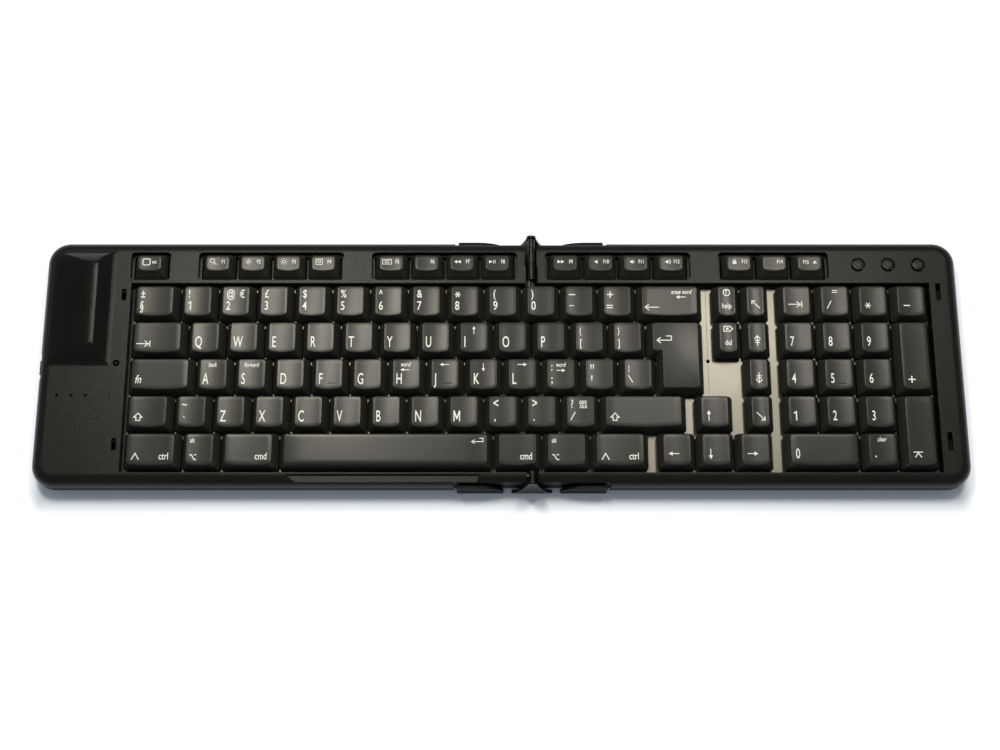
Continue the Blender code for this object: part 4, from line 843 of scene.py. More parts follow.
def corner_radius(share):
    """Radius of a cap's corners between its base, 0, and its top, 1."""
    settings = bpy.context.scene.keyboard_caps
    return settings.base_corner + (settings.top_corner - settings.base_corner) * share


def add_stem(bm, x, y):
    add_box(bm, x - STEM_HALF, x + STEM_HALF, y - STEM_HALF, y + STEM_HALF, STEM_LOW_Z, SKIRT_Z + 1.0)


def cap_mesh(name, width, depth, top_width, top_depth, shift, dish):
    """A sculpted cap about its own middle: skirt, rounded rim and hollowed top."""
    settings = bpy.context.scene.keyboard_caps
    rim = settings.rim_radius
    segments = settings.corner_segments
    height = KEY_TOP_Z - SKIRT_Z
    across = max(8, int(width / TOP_STRIP))
    leaning = (depth - top_depth) / 2.0 / height

    def ring(share, inset, drop, shaped):
        """share 0 is the base, 1 the top; drop lowers the ring below the top's own surface."""
        w = width + (top_width - width) * share - 2.0 * inset
        d = depth + (top_depth - depth) * share - 2.0 * inset
        corner = max(corner_radius(share) - inset, 0.25)
        points = []
        for x, y in edge_points(w, d, corner, segments, across, 3):
            side = share_off_middle(x, top_width)
            hollow = dish * (1.0 - side * side) * shaped
            z = SKIRT_Z + height * share - drop - hollow
            lean = y / (d / 2.0) * leaning * hollow
            bow = settings.bow * (1.0 - side * side) * share ** 3 if dish > 0.0 and y < 0.0 else 0.0
            points.append((x, y + shift * share + lean - bow, z))
        return points

    rings = [ring(0.0, UNDER_INSET, -UNDER_LIFT, 0.0)]
    rings += [ring(share, inset, 0.0, shaped) for share, inset, shaped in SKIRT_RINGS]
    rings += [ring(1.0, rim * inset, rim * drop, 1.0) for inset, drop in RIM_RINGS]
    edge = rings[-1]
    for share in TOP_SHARES:
        points = []
        for x, y, _ in edge:
            px = x * share
            side = share_off_middle(px, top_width)
            py = (y - shift) * share + shift
            points.append((px, py, KEY_TOP_Z - dish * (1.0 - side * side)))
        rings.append(points)
    bm = bmesh.new()
    last = add_rings(bm, rings, close_last=False)[-1]
    middle = bm.verts.new((0.0, shift, KEY_TOP_Z - dish))
    for i in range(len(last)):
        bm.faces.new((last[i], last[(i + 1) % len(last)], middle))
    add_stem(bm, 0.0, 0.0)
    return to_mesh(bm, name, CAP_SHARP)


def return_cap_mesh(name):
    """The stepped return cap, in place."""
    settings = bpy.context.scene.keyboard_caps
    rim = settings.rim_radius
    segments = settings.corner_segments
    height = KEY_TOP_Z - SKIRT_Z

    def ring(share, inset, drop):
        """share 0 is the base, 1 the top; drop lowers the ring."""
        gap = KEY_GAP / 2.0
        side = gap + (SIDE_TAPER / 2.0 - gap) * share + inset
        front = gap + (DEPTH_TAPER / 2.0 + TOP_SHIFT - gap) * share + inset
        back = gap + (DEPTH_TAPER / 2.0 - TOP_SHIFT - gap) * share + inset
        left = unit_x(13.5) + side
        step = unit_x(13.75) + side
        right = unit_x(15.0) - side
        low = row_y(2) - PITCH / 2.0 + front
        shelf = row_y(1) - PITCH / 2.0 + front
        high = row_y(1) + PITCH / 2.0 - back
        corner = max(corner_radius(share) - inset, 0.25)
        corners = [(step, low), (right, low), (right, high), (left, high), (left, shelf), (step, shelf)]
        z = SKIRT_Z + height * share - drop
        radii = [corner] * 5 + [corner * 0.5]
        return [(x, y, z) for x, y in rounded(corners, radii, segments)]

    rings = [ring(0.0, UNDER_INSET, -UNDER_LIFT)]
    rings += [ring(share, inset, 0.0) for share, inset in RETURN_SKIRT_RINGS]
    rings += [ring(1.0, rim * inset, rim * drop) for inset, drop in RIM_RINGS]
    bm = ring_body(rings)
    add_stem(bm, unit_x((13.75 + 15.0) / 2.0), row_y(1.5))
    return to_mesh(bm, name, CAP_SHARP)


def repeat_tree():
    """Geometry nodes: one object copied to every point of a mesh, made real, with its material."""
    name = "repeat_on_points"
    if name in bpy.data.node_groups:
        return bpy.data.node_groups[name]
    tree = bpy.data.node_groups.new(name, "GeometryNodeTree")
    face = tree.interface
    face.new_socket("Points", in_out="INPUT", socket_type="NodeSocketGeometry")
    face.new_socket("Cap", in_out="INPUT", socket_type="NodeSocketObject")
    face.new_socket("Look", in_out="INPUT", socket_type="NodeSocketMaterial")
    face.new_socket("Caps", in_out="OUTPUT", socket_type="NodeSocketGeometry")
    nodes = tree.nodes
    entry = nodes.new("NodeGroupInput")
    info = nodes.new("GeometryNodeObjectInfo")
    copies = nodes.new("GeometryNodeInstanceOnPoints")
    real = nodes.new("GeometryNodeRealizeInstances")
    look = nodes.new("GeometryNodeSetMaterial")
    leave = nodes.new("NodeGroupOutput")
    for output, target in (
        (entry.outputs["Points"], copies.inputs["Points"]),
        (entry.outputs["Cap"], info.inputs["Object"]),
        (info.outputs["Geometry"], copies.inputs["Instance"]),
        (copies.outputs["Instances"], real.inputs["Geometry"]),
        (real.outputs["Geometry"], look.inputs["Geometry"]),
        (entry.outputs["Look"], look.inputs["Material"]),
        (look.outputs["Geometry"], leave.inputs["Caps"]),
    ):
        tree.links.new(output, target)
    return tree


def repeated(name, cap, places, look):
    """The mesh of one cap at every place."""
    bm = bmesh.new()
    for x, y in places:
        bm.verts.new((x * MM, y * MM, 0.0))
    carrier = linked_object(name, bare_mesh(bm, name))
    tree = repeat_tree()
    modifier = carrier.modifiers.new("repeat", "NODES")
    modifier.node_group = tree
    ids = {item.name: item.identifier for item in tree.interface.items_tree if item.in_out == "INPUT"}
    modifier[ids["Cap"]] = cap
    modifier[ids["Look"]] = material(look)
    bpy.context.view_layer.update()
    return evaluated_mesh(carrier, name)


def joined(name, meshes):
    bm = bmesh.new()
    for mesh in meshes:
        bm.from_mesh(mesh)
    return shaded(bare_mesh(bm, name), CAP_SHARP)


# Legends

def stroke_outline(points, width, closed):
    """Left and right borders of a stroke, mitred at its corners."""
    count = len(points)
    left = []
    right = []
    for i in range(count):
        here = Vector(points[i])
        before = Vector(points[i - 1]) if closed or i > 0 else None
        after = Vector(points[(i + 1) % count]) if closed or i < count - 1 else None
        into = (here - before).normalized() if before is not None else (after - here).normalized()
        out = (after - here).normalized() if after is not None else into
        normal = Vector((-into.y - out.y, into.x + out.x)).normalized()
        stretch = 1.0 / max(0.35, normal.dot(Vector((-into.y, into.x))))
        offset = normal * width / 2.0 * stretch
        left.append(here + offset)
        right.append(here - offset)
    return left, right


def add_stroke(bm, points, width, closed=False):
    left, right = stroke_outline(points, width, closed)
    left = [bm.verts.new((p.x, p.y, 0.0)) for p in left]
    right = [bm.verts.new((p.x, p.y, 0.0)) for p in right]
    last = len(points) if closed else len(points) - 1
    for i in range(last):
        j = (i + 1) % len(points)
        bm.faces.new((right[i], right[j], left[j], left[i]))


# Height of a capital against the font's size, the size at which the set weight holds, how deep the
# print reaches into the cap, and the width of the strips that let it follow the hollow
CAPITAL_SHARE = 0.695
WEIGHT_SIZE = 4.5
PRINT_DEPTH = 0.12
PRINT_STEP = 0.8
GLYPHS = {}


def text_mesh(text, size, slant):
    """A flat mesh of a printed word, its height given by its capitals."""
    settings = bpy.context.scene.keyboard_legends
    key = (text, size, slant)
    if key not in GLYPHS:
        curve = bpy.data.curves.new("legend", "FONT")
        curve.body = text
        curve.size = size / CAPITAL_SHARE
        curve.shear = slant
        curve.resolution_u = 4
        curve.offset = settings.weight * (0.5 + 0.5 * size / WEIGHT_SIZE)
        curve.fill_mode = "FRONT"
        writer = linked_object("legend", curve)
        mesh = evaluated_mesh(writer, "legend")
        bpy.data.curves.remove(curve)
        GLYPHS[key] = mesh
    return GLYPHS[key]


def add_legend(bm, key, legend):
    """One printed sign as a thin closed slab that follows the top of its cap."""
    settings = bpy.context.scene.keyboard_legends
    kind, content, x, y, size, width, slant = legend
    left = -key.top[0] / 2.0
    front = key.shift - key.top[1] / 2.0
    flat = bmesh.new()
    if kind == "text":
        flat.from_mesh(text_mesh(content, size, slant))
        for vert in flat.verts:
            vert.co.x *= width * settings.condense
    else:
        shape = SIGNS[content]
        width = settings.stroke * min(size, 1.0) * shape.get("stroke", 1.0)
        for line in shape.get("lines", []):
            add_stroke(flat, [(px * size, py * size) for px, py in line], width)
        for loop in shape.get("loops", []):
            add_stroke(flat, [(px * size, py * size) for px, py in loop], width, closed=True)
        for fill in shape.get("fills", []):
            flat.faces.new([flat.verts.new((px * size, py * size, 0.0)) for px, py in fill])
    bmesh.ops.translate(flat, vec=(left + x, front + y, 0.0), verts=flat.verts)
    bmesh.ops.recalc_face_normals(flat, faces=flat.faces)
    for face in flat.faces:
        if face.normal.z < 0.0:
            face.normal_flip()
    if key.dish > 0.0 and flat.verts:
        low = min(vert.co.x for vert in flat.verts)
        high = max(vert.co.x for vert in flat.verts)
        cut = math.ceil(low / PRINT_STEP) * PRINT_STEP
        while cut < high:
            bmesh.ops.bisect_plane(
                flat, geom=flat.verts[:] + flat.edges[:] + flat.faces[:], dist=0.0001,
                plane_co=(cut, 0.0, 0.0), plane_no=(1.0, 0.0, 0.0),
            )
            cut += PRINT_STEP
    top = {}
    bottom = {}
    for vert in flat.verts:
        z = key.surface(vert.co.x)
        px = key.x + vert.co.x
        py = key.y + vert.co.y
        top[vert] = bm.verts.new((px, py, z + settings.raise_mm))
        bottom[vert] = bm.verts.new((px, py, z - PRINT_DEPTH))
    for face in flat.faces:
        verts = list(face.verts)
        bm.faces.new([top[v] for v in verts])
        bm.faces.new([bottom[v] for v in reversed(verts)])
    for edge in flat.edges:
        if len(edge.link_faces) == 1:
            a, b = edge.verts
            order = list(edge.link_faces[0].verts)
            if order[(order.index(a) + 1) % len(order)] is not b:
                a, b = b, a
            bm.faces.new((bottom[a], bottom[b], top[b], top[a]))
    flat.free()


def slab_mesh(name, bm):
    """Legend slabs are built facing outward already, so their faces stay as they are."""
    bmesh.ops.transform(bm, matrix=Matrix.Scale(MM, 4), verts=bm.verts)
    return bare_mesh(bm, name)


# Cases

CASE_REACH = {"left": 245.0, "right": 215.0}
CASE_HALF_Y = 63.4
CASE_CORNER_R = 11.0
CASE_EDGE_R = 6.0
CASE_WALL = 1.8
UPPER_LOW_Z = 8.1
UPPER_END = 2.7
LOWER_TOP_Z = 7.8
LOWER_END = 0.4
LOWER_FLOOR = 1.6
BOTTOM_PROFILE = [(3.2, 1.0), (2.2, 1.25), (1.3, 1.9), (0.6, 2.9), (0.15, 4.2), (0.0, 5.2)]

# Where cuts from below start and those from above stop
CUT_LOW_Z = 7.0
CUT_HIGH_Z = DECK_Z + 1.0

# The raised battery housing
BUMP_TOP_Z = 21.4
BUMP_LOW_Z = 8.4
BUMP_RIGHT = -210.2
BUMP_FRONT = -1.8
BUMP_BACK = 56.8
BUMP_RIDGE = 8.8
BUMP_CROWN = 2.5
BUMP_LEAN = 1.4
BUMP_CREST = 0.9
BUMP_CREST_DROP = 0.36
BUMP_FOOT = 1.1
BUMP_FOOT_SHARE = 0.24
BUMP_EDGE_R = 0.8
BUMP_CORNER_R = 6.0
BUMP_SLOPES = {"right": 7.1, "front": 8.8, "back": 6.8}
BUMP_END_POWER = 1.3
BUMP_WALL = 0.7

# The key field, its wall and the collars that meet the plate below
FIELD_MARGIN = 1.5
FIELD_BACK = ROW_0_Y + (PITCH - KEY_GAP) / 2.0 + FIELD_MARGIN
FIELD_FRONT = ROW_0_Y - 4.0 * PITCH - (PITCH - KEY_GAP) / 2.0 - FIELD_MARGIN
FIELD_REACH = {
    "left": HINGE_UNIT * PITCH - KEY_GAP / 2.0 + FIELD_MARGIN,
    "right": (LAST_UNIT - HINGE_UNIT) * PITCH - KEY_GAP / 2.0 + FIELD_MARGIN,
}
FIELD_END = 0.7
FIELD_WALL = 1.2
COLLAR = 1.1
COLLAR_SINK = 0.4
COLLAR_END = 2.9
COLLAR_LOW_Z = 9.4
COLLAR_TOP_Z = 10.0
POCKET_HALF_Y = 7.425
POCKET_END = 10.15
POCKET_CORNER_R = 2.2
POCKET_LOW_Z = 11.0
POCKET_COLLAR_Z = (11.2, 11.8)
PLATE_ROOM_Z = 9.3
PLATE_BACK = 58.325
PLATE_END = 0.4
PLATE_MARGIN = 1.2
PLATE_CLEARANCE = 0.3

# The hinge: knuckles, the bore and pin, and the plates on the case's front and back
KNUCKLE_R = 1.7
KNUCKLES = {
    "left": [(50.0, 62.3), (-62.3, -60.4)],
    "right": [(FIELD_BACK + 0.3, 49.7), (-60.1, FIELD_FRONT - 0.3)],
}
KNUCKLE_WEB = [(0.0, -1.53), (1.275, -0.935), (3.6, -3.9), (3.6, -8.2), (0.85, -5.4)]
BORE_R = 0.95
PIN_R = 0.8
PIN_END = 63.6
SIDE_PLATE_Y = (62.6, 64.1)
SIDE_PAD_X = (22.8, 32.8)
SIDE_PAD_Y = (61.1, 63.1)
SIDE_PAD_Z = (3.6, 7.0)
RECESS_REACH = 38.4
RECESS_FACE = 61.6

# Openings in the deck, by their distance from the hinge line
LATCH_X = 204.5
LATCH_SLOT_HALF = 1.2
LATCH_SLOTS = {"left": 6.1, "right": 9.0}
LATCH_SLOT_FRONTS = (31.5, -45.8)
INDICATORS = ((-234.2, 0.85), (-227.1, 0.85), (-220.1, 0.85), (-208.6, 0.6))
INDICATOR_Y = -18.0
CONNECT_X = -206.1
CONNECT_Y = -1.4
CONNECT_HOLE_R = 1.75
BUTTON_X = 165.1
BUTTON_PITCH = 15.1
BUTTON_Y = 50.4
BUTTON_HOLE_R = 3.65
BUTTON_TOP_Z = 16.2

# Underneath
SCREWS = {
    "left": [(-236.0, -54.0), (-206.4, 52.4), (-206.4, -53.4), (-174.9, F_ROW_Y), (-87.45, F_ROW_Y)],
    "right": [(208.3, 53.0), (208.3, -53.0), (87.45, F_ROW_Y), (156.5, F_ROW_Y)],
}
SCREW_BORE_R = 2.4
SCREW_HEAD_R = 2.1
FEET = {
    "left": [(-226.0, -50.0), (-198.0, 50.0)],
    "right": [(198.0, -50.0), (198.0, 50.0)],
}
FOOT_BORE_R = 4.8
TAB_Y = -2.6
TAB_HALF = 7.2
TAB_DEPTH = 1.2


def case_outline(side, end, inset):
    """One half from above: straight at the hinge, round at its outer corners."""
    segments = bpy.context.scene.keyboard_case.corner_segments
    radius = max(CASE_CORNER_R - inset, 0.6)
    radii = [radius, 0.0, 0.0, radius] if side == "left" else [0.0, radius, radius, 0.0]
    y = CASE_HALF_Y - inset
    return rounded(box_corners(*span(side, end, CASE_REACH[side] - inset), -y, y), radii, segments)


def upper_rings(side, inset, bottom, end):
    """An upper shell's outside or inside, from its lower edge over its shoulder."""
    steps = bpy.context.scene.keyboard_case.edge_segments
    radius = CASE_EDGE_R - inset
    rings = [[(x, y, bottom) for x, y in case_outline(side, end, inset)]]
    for i in range(steps + 1):
        angle = math.radians(90.0 * i / steps)
        z = DECK_Z - CASE_EDGE_R + radius * math.sin(angle)
        drawn_in = inset + radius * (1.0 - math.cos(angle))
        rings.append([(x, y, z) for x, y in case_outline(side, end, drawn_in)])
    return rings


def bump_rings(wall, bottom):
    """The housing: a back that falls into the case's left side from a crest, and three slopes."""
    steps = bpy.context.scene.keyboard_case.bump_segments
    edge = hinge_side(-CASE_REACH["left"]) + 0.2
    ridge = hinge_side(BUMP_RIGHT - BUMP_RIDGE)
    shoulder = DECK_Z - CASE_EDGE_R
    height = BUMP_TOP_Z - shoulder
    levels = [None, 0.0, 0.025, 0.05, 0.08, 0.12, 0.17, BUMP_FOOT_SHARE]
    levels += [1.0 - (1.0 - BUMP_FOOT_SHARE) * (1.0 - i / steps) ** 1.7 for i in range(1, steps + 1)]
    rings = []
    for lift in levels:
        share = lift or 0.0
        z = DECK_Z + (BUMP_TOP_Z - DECK_Z) * share
        rise = (z - shoulder) / height
        reach = max(1.0 - rise ** BUMP_CROWN, 0.0) ** (1.0 / BUMP_LEAN)
        foot = BUMP_FOOT * max(1.0 - share / BUMP_FOOT_SHARE, 0.0) ** 2
        near_top = max(1.0 - (BUMP_TOP_Z - z) / (BUMP_CREST_DROP * BUMP_CREST), 0.0)
        crest = BUMP_CREST * (1.0 - math.sqrt(max(1.0 - near_top * near_top, 0.0)))
        inward = wall + crest - foot
        x1 = hinge_side(BUMP_RIGHT) - inward - BUMP_SLOPES["right"] * share
        x0 = min(ridge - reach * (ridge - edge - wall), x1 - 0.3)
        y0 = BUMP_FRONT + inward + BUMP_SLOPES["front"] * share ** BUMP_END_POWER
        y1 = BUMP_BACK - inward - BUMP_SLOPES["back"] * share ** BUMP_END_POWER
        small = min(BUMP_EDGE_R + 1.8 * (1.0 - abs(2.0 * share - 1.0)), (x1 - x0) / 2.3)
        large = small + max(BUMP_CORNER_R - wall - small, 0.0) * reach
        outline = rounded(box_corners(x0, x1, y0, y1), [small, small, small, large], 6)
        rings.append([(x, y, bottom if lift is None else z - wall) for x, y in outline])
    return rings


def pocket_outlines(side, grow=0.0):
    """The openings around the blocks of the back row."""
    outlines = []
    for _, near, far in f_blocks(side):
        x0, x1 = span(side, near - POCKET_END - grow, far + POCKET_END + grow)
        half = POCKET_HALF_Y + grow
        corners = box_corners(x0, x1, F_ROW_Y - half, F_ROW_Y + half)
        outlines.append(rounded(corners, max(POCKET_CORNER_R + grow, 0.8), 5))
    return outlines


def field_walls(side):
    bm = bmesh.new()
    x0, x1 = span(side, UPPER_END, FIELD_REACH[side] + FIELD_WALL)
    add_box(bm, x0, x1, FIELD_FRONT - FIELD_WALL, FIELD_BACK + FIELD_WALL, PLATE_ROOM_Z, DECK_Z - 1.0)
    return bm


def pocket_walls(side):
    bm = bmesh.new()
    for outline in pocket_outlines(side, FIELD_WALL):
        add_prism(bm, outline, POCKET_LOW_Z, DECK_Z - 0.9)
    return bm


def knuckle_webs(side):
    bm = bmesh.new()
    outline = [(hinge_side(SIGN[side] * x), HINGE_Z + z) for x, z in KNUCKLE_WEB]
    for y0, y1 in KNUCKLES[side]:
        add_prism_y(bm, outline, y0, y1)
    return bm


def knuckle_barrels(side):
    bm = bmesh.new()
    for y0, y1 in KNUCKLES[side]:
        add_prism_y(bm, circle(HINGE_X, HINGE_Z, KNUCKLE_R, 40), y0, y1)
    return bm


def deck_openings(side):
    """The key field, the pockets, the latch slots, the pin's bores and the round holes of one half."""
    bm = bmesh.new()
    for outline in (box_corners(*span(side, FIELD_END, FIELD_REACH[side]), FIELD_FRONT, FIELD_BACK),
                    *pocket_outlines(side)):
        add_prism(bm, outline, CUT_LOW_Z, CUT_HIGH_Z)
    x0, x1 = span(side, LATCH_X - LATCH_SLOT_HALF, LATCH_X + LATCH_SLOT_HALF)
    for front in LATCH_SLOT_FRONTS:
        add_box(bm, x0, x1, front, front + LATCH_SLOTS[side], UPPER_LOW_Z, CUT_HIGH_Z)
    for y0, y1 in KNUCKLES[side]:
        add_prism_y(bm, circle(HINGE_X, HINGE_Z, BORE_R, 24), y0 - 0.5, y1 + 0.5)
    if side == "left":
        for x, radius in INDICATORS:
            add_post(bm, hinge_side(x), INDICATOR_Y, UPPER_LOW_Z, CUT_HIGH_Z, radius, 20)
        add_post(bm, hinge_side(CONNECT_X), CONNECT_Y, UPPER_LOW_Z, CUT_HIGH_Z, CONNECT_HOLE_R, 28)
    else:
        for i in range(3):
            x = hinge_side(BUTTON_X + BUTTON_PITCH * i)
            add_post(bm, x, BUTTON_Y, UPPER_LOW_Z, CUT_HIGH_Z, BUTTON_HOLE_R, 40)
    return bm


def opening_collars(side):
    """Narrow collars inside the pockets and along the key field's front and back."""
    bm = bmesh.new()
    for outer, inner in zip(pocket_outlines(side, COLLAR_SINK), pocket_outlines(side, -FIELD_WALL)):
        add_collar(bm, outer, inner, *POCKET_COLLAR_Z)
    x0, x1 = span(side, COLLAR_END, FIELD_REACH[side])
    add_box(bm, x0, x1, FIELD_FRONT - COLLAR_SINK, FIELD_FRONT + COLLAR, COLLAR_LOW_Z, COLLAR_TOP_Z)
    add_box(bm, x0, x1, FIELD_BACK - COLLAR, FIELD_BACK + COLLAR_SINK, COLLAR_LOW_Z, COLLAR_TOP_Z)
    return bm


def end_collar(side):
    """The collar at the key field's outer end."""
    bm = bmesh.new()
    x0, x1 = span(side, FIELD_REACH[side] - COLLAR, FIELD_REACH[side] + COLLAR_SINK)
    add_box(bm, x0, x1, FIELD_FRONT - 0.3, FIELD_BACK + 0.3, COLLAR_LOW_Z, COLLAR_TOP_Z)
    return bm


def side_recesses(side):
    """Room on the front and back for the plates of the hinge, and in the left end for the release tab."""
    bm = bmesh.new()
    for y0, y1 in front_and_back(RECESS_FACE, CASE_HALF_Y + 1.0):
        add_box(bm, *span(side, -1.0, RECESS_REACH), y0, y1, 0.0, DECK_Z)
    if side == "left":
        x = hinge_side(-CASE_REACH["left"])
        near = TAB_HALF - TAB_DEPTH
        far = TAB_HALF + TAB_DEPTH
        outline = [
            (x - 1.0, TAB_Y - far), (x, TAB_Y - TAB_HALF), (x + TAB_DEPTH, TAB_Y - near),
            (x + TAB_DEPTH, TAB_Y + near), (x, TAB_Y + TAB_HALF), (x - 1.0, TAB_Y + far),
        ]
        add_prism(bm, outline, 3.2, DECK_Z - 2.5)
    return bm


def plate_room(side):
    """The side recesses, and the room for the metal plate under the field."""
    bm = side_recesses(side)
    x0, x1 = span(side, PLATE_END - PLATE_CLEARANCE, FIELD_REACH[side] + PLATE_MARGIN + PLATE_CLEARANCE)
    add_box(bm, x0, x1, FIELD_FRONT - 0.9, PLATE_BACK + PLATE_CLEARANCE, CUT_LOW_Z, PLATE_ROOM_Z)
    return bm


def thumb_ledge():
    """The step in front of the space bar, wider at its back."""
    bm = bmesh.new()
    left = hinge_side(-116.4)
    right = hinge_side(-27.5)
    front = -CASE_HALF_Y - 1.0
    back = FIELD_FRONT - 0.9
    outline = [(left + 5.0, front), (right - 1.0, front), (right + 2.0, back), (left - 4.0, back)]
    add_prism(bm, outline, DECK_Z - 1.6, CUT_HIGH_Z)
    return bm


def upper_case_mesh(side):
    """The upper shell of one half, cut and joined like the moulding."""
    body = ring_body(upper_rings(side, 0.0, UPPER_LOW_Z, UPPER_END))
    steps = [("DIFFERENCE", ring_body(upper_rings(side, CASE_WALL, CUT_LOW_Z, UPPER_END + CASE_WALL)))]
    if side == "left":
        steps.insert(0, ("UNION", ring_body(bump_rings(0.0, BUMP_LOW_Z))))
        steps.append(("DIFFERENCE", ring_body(bump_rings(BUMP_WALL, CUT_LOW_Z))))
    for make in (field_walls, pocket_walls, knuckle_webs, knuckle_barrels):
        steps.append(("UNION", make(side)))
    steps.append(("DIFFERENCE", deck_openings(side)))
    steps += [("UNION", opening_collars(side)), ("UNION", end_collar(side))]
    steps.append(("DIFFERENCE", plate_room(side)))
    if side == "left":
        steps.append(("DIFFERENCE", thumb_ledge()))
    name = f"{side}_upper_shell"

    def on_deck(edge):
        return all(abs(vert.co.z - DECK_Z) < 0.02 for vert in edge.verts)

    return soften(carve(name, body, steps), name, on_deck, bpy.context.scene.keyboard_case.opening_bevel)


def lower_rings(side, end, wall, floor, top):
    """A lower shell's outside or inside: a wall draws it in and a floor lifts it."""
    levels = [(inset + wall, z + floor) for inset, z in BOTTOM_PROFILE] + [(wall, top)]
    return [[(x, y, z) for x, y in case_outline(side, end, inset)] for inset, z in levels]


def lower_recesses(side):
    """The side recesses, and from below the battery door's cut and the bores of screws and feet."""
    bm = side_recesses(side)
    if side == "left":
        add_box(bm, hinge_side(-246.0), hinge_side(-213.0), 1.6, 53.9, 0.0, 2.6)
    for x, y in SCREWS[side]:
        add_post(bm, hinge_side(x), y, 0.0, 2.0, SCREW_BORE_R, 28)
    for x, y in FEET[side]:
        add_post(bm, hinge_side(x), y, 0.0, 1.5, FOOT_BORE_R, 40)
    return bm


def recess_liners(side):
    bm = bmesh.new()
    x0, x1 = span(side, LOWER_END, RECESS_REACH + CASE_WALL)
    for y0, y1 in front_and_back(RECESS_FACE - CASE_WALL, RECESS_FACE):
        add_box(bm, x0, x1, y0, y1, 1.8, LOWER_TOP_Z)
    return bm


def release_slot():
    """Lets the release tab reach its slide through the left end."""
    bm = bmesh.new()
    add_box(bm, hinge_side(-246.0), hinge_side(-241.0), -6.5, -0.9, 4.2, 8.8)
    return bm


def screw_heads(side):
    bm = bmesh.new()
    for x, y in SCREWS[side]:
        add_post(bm, hinge_side(x), y, 1.3, 2.2, SCREW_HEAD_R, 28)
    return bm


def side_plates(side):
    """The plates beside the hinge, which stand on the desk: straight outside, rounded towards the hinge."""
    outline = [(14.0, 0.0), (36.8, 0.0), (36.8, 10.7), (36.5, 11.3), (36.0, 11.5)]
    for i in range(15):
        angle = math.radians(90.0 * i / 14)
        outline.append((27.8 - 13.8 * math.sin(angle), 4.0 + 7.5 * math.cos(angle)))
    bm = bmesh.new()
    for y0, y1 in front_and_back(*SIDE_PLATE_Y):
        add_prism_y(bm, [(hinge_side(SIGN[side] * x), z) for x, z in outline], y0, y1)
    return bm


def side_plate_pads(side):
    bm = bmesh.new()
    for y0, y1 in front_and_back(*SIDE_PAD_Y):
        add_box(bm, *span(side, *SIDE_PAD_X), y0, y1, *SIDE_PAD_Z)
    return bm


def lower_case_mesh(side):
    """The lower shell of one half with the plates beside the hinge."""
    body = ring_body(lower_rings(side, LOWER_END, 0.0, 0.0, LOWER_TOP_Z))
    hollow = ring_body(lower_rings(side, 1.2, CASE_WALL, LOWER_FLOOR, 8.8))
    steps = [("DIFFERENCE", hollow), ("DIFFERENCE", lower_recesses(side)), ("UNION", recess_liners(side))]
    if side == "left":
        steps.append(("DIFFERENCE", release_slot()))
    steps += [("UNION", make(side)) for make in (screw_heads, side_plates, side_plate_pads)]
    name = f"{side}_lower_shell"

    def on_plate(edge):
        return all(abs(vert.co.y) > 62.5 and abs(vert.co.x - HINGE_X) < 38.0 for vert in edge.verts)

    return soften(carve(name, body, steps), name, on_plate, PLATE_BEVEL)


PLATE_BEVEL = 0.3
END_PLATE_HALF = 10.0
END_PLATE_FOOT = 2.0
END_PLATE_CROWN = 2.4


def end_plate_outline():
    """A plate that flares from a round crown at the hinge axis to a wide foot on the desk."""
    crown = END_PLATE_CROWN
    side = [(END_PLATE_HALF, 0.0), (END_PLATE_HALF, END_PLATE_FOOT)]
    steps = 18
    for i in range(1, steps + 1):
        angle = math.radians(90.0 * i / steps)
        x = crown + (END_PLATE_HALF - crown) * (1.0 - math.sin(angle)) ** 0.8
        side.append((x, HINGE_Z - (HINGE_Z - END_PLATE_FOOT) * math.cos(angle) ** 1.3))
    for degrees in (15.0, 30.0, 45.0, 60.0, 75.0):
        angle = math.radians(degrees)
        side.append((crown * math.cos(angle), HINGE_Z + crown * math.sin(angle)))
    outline = side + [(0.0, HINGE_Z + crown)] + [(-x, z) for x, z in reversed(side)]
    return [(hinge_side(x), z) for x, z in outline]


def end_plate_mesh(name, direction, tip):
    """An end plate with its pin, whose inner end is at the tip."""
    plate = bmesh.new()
    add_prism_y(plate, end_plate_outline(), *sorted(direction * y for y in SIDE_PLATE_Y))
    pin = bmesh.new()
    add_prism_y(pin, circle(HINGE_X, HINGE_Z, PIN_R, 24), *sorted((tip, direction * PIN_END)))

    def on_plate(edge):
        return all(abs(vert.co.y) > 62.5 for vert in edge.verts)

    return soften(carve(name, plate, [("UNION", pin)]), name, on_plate, PLATE_BEVEL)


# Round buttons, as (radius, height) pairs, bottom first

BUTTON_PROFILE = [
    (4.3, 12.6), (4.3, 13.5), (3.0, 13.5), (3.0, 15.85), (2.95, 16.02), (2.82, 16.15), (2.62, BUTTON_TOP_Z),
    (1.2, BUTTON_TOP_Z),
]
CONNECT_PROFILE = [
    (2.35, 12.5), (2.35, 13.5), (1.45, 13.5), (1.45, 14.0), (0.95, 15.2), (0.85, 15.7), (0.65, 15.92),
    (0.3, 16.0),
]
BUTTON_SIGNS = {"mute_button": "speaker", "volume_down_button": "volume_1", "volume_up_button": "volume_2"}
RELIEF_SCALE = 0.95
RELIEF_SHIFT = -0.2
RELIEF_STROKE = 0.3
RELIEF_Z = (16.1, 16.26)


def relief_mesh(name, x, shape):
    """The raised sign of a round button."""
    outlines = []
    for line in shape.get("lines", []):
        left, right = stroke_outline(line, RELIEF_STROKE, False)
        outlines.append([(p.x, p.y) for p in (*right, *reversed(left))])
    bm = bmesh.new()
    for outline in outlines + shape["fills"]:
        points = [(x + px * RELIEF_SCALE + RELIEF_SHIFT, BUTTON_Y + py * RELIEF_SCALE) for px, py in outline]
        add_prism(bm, points, *RELIEF_Z)
    return to_mesh(bm, name)


# Settings

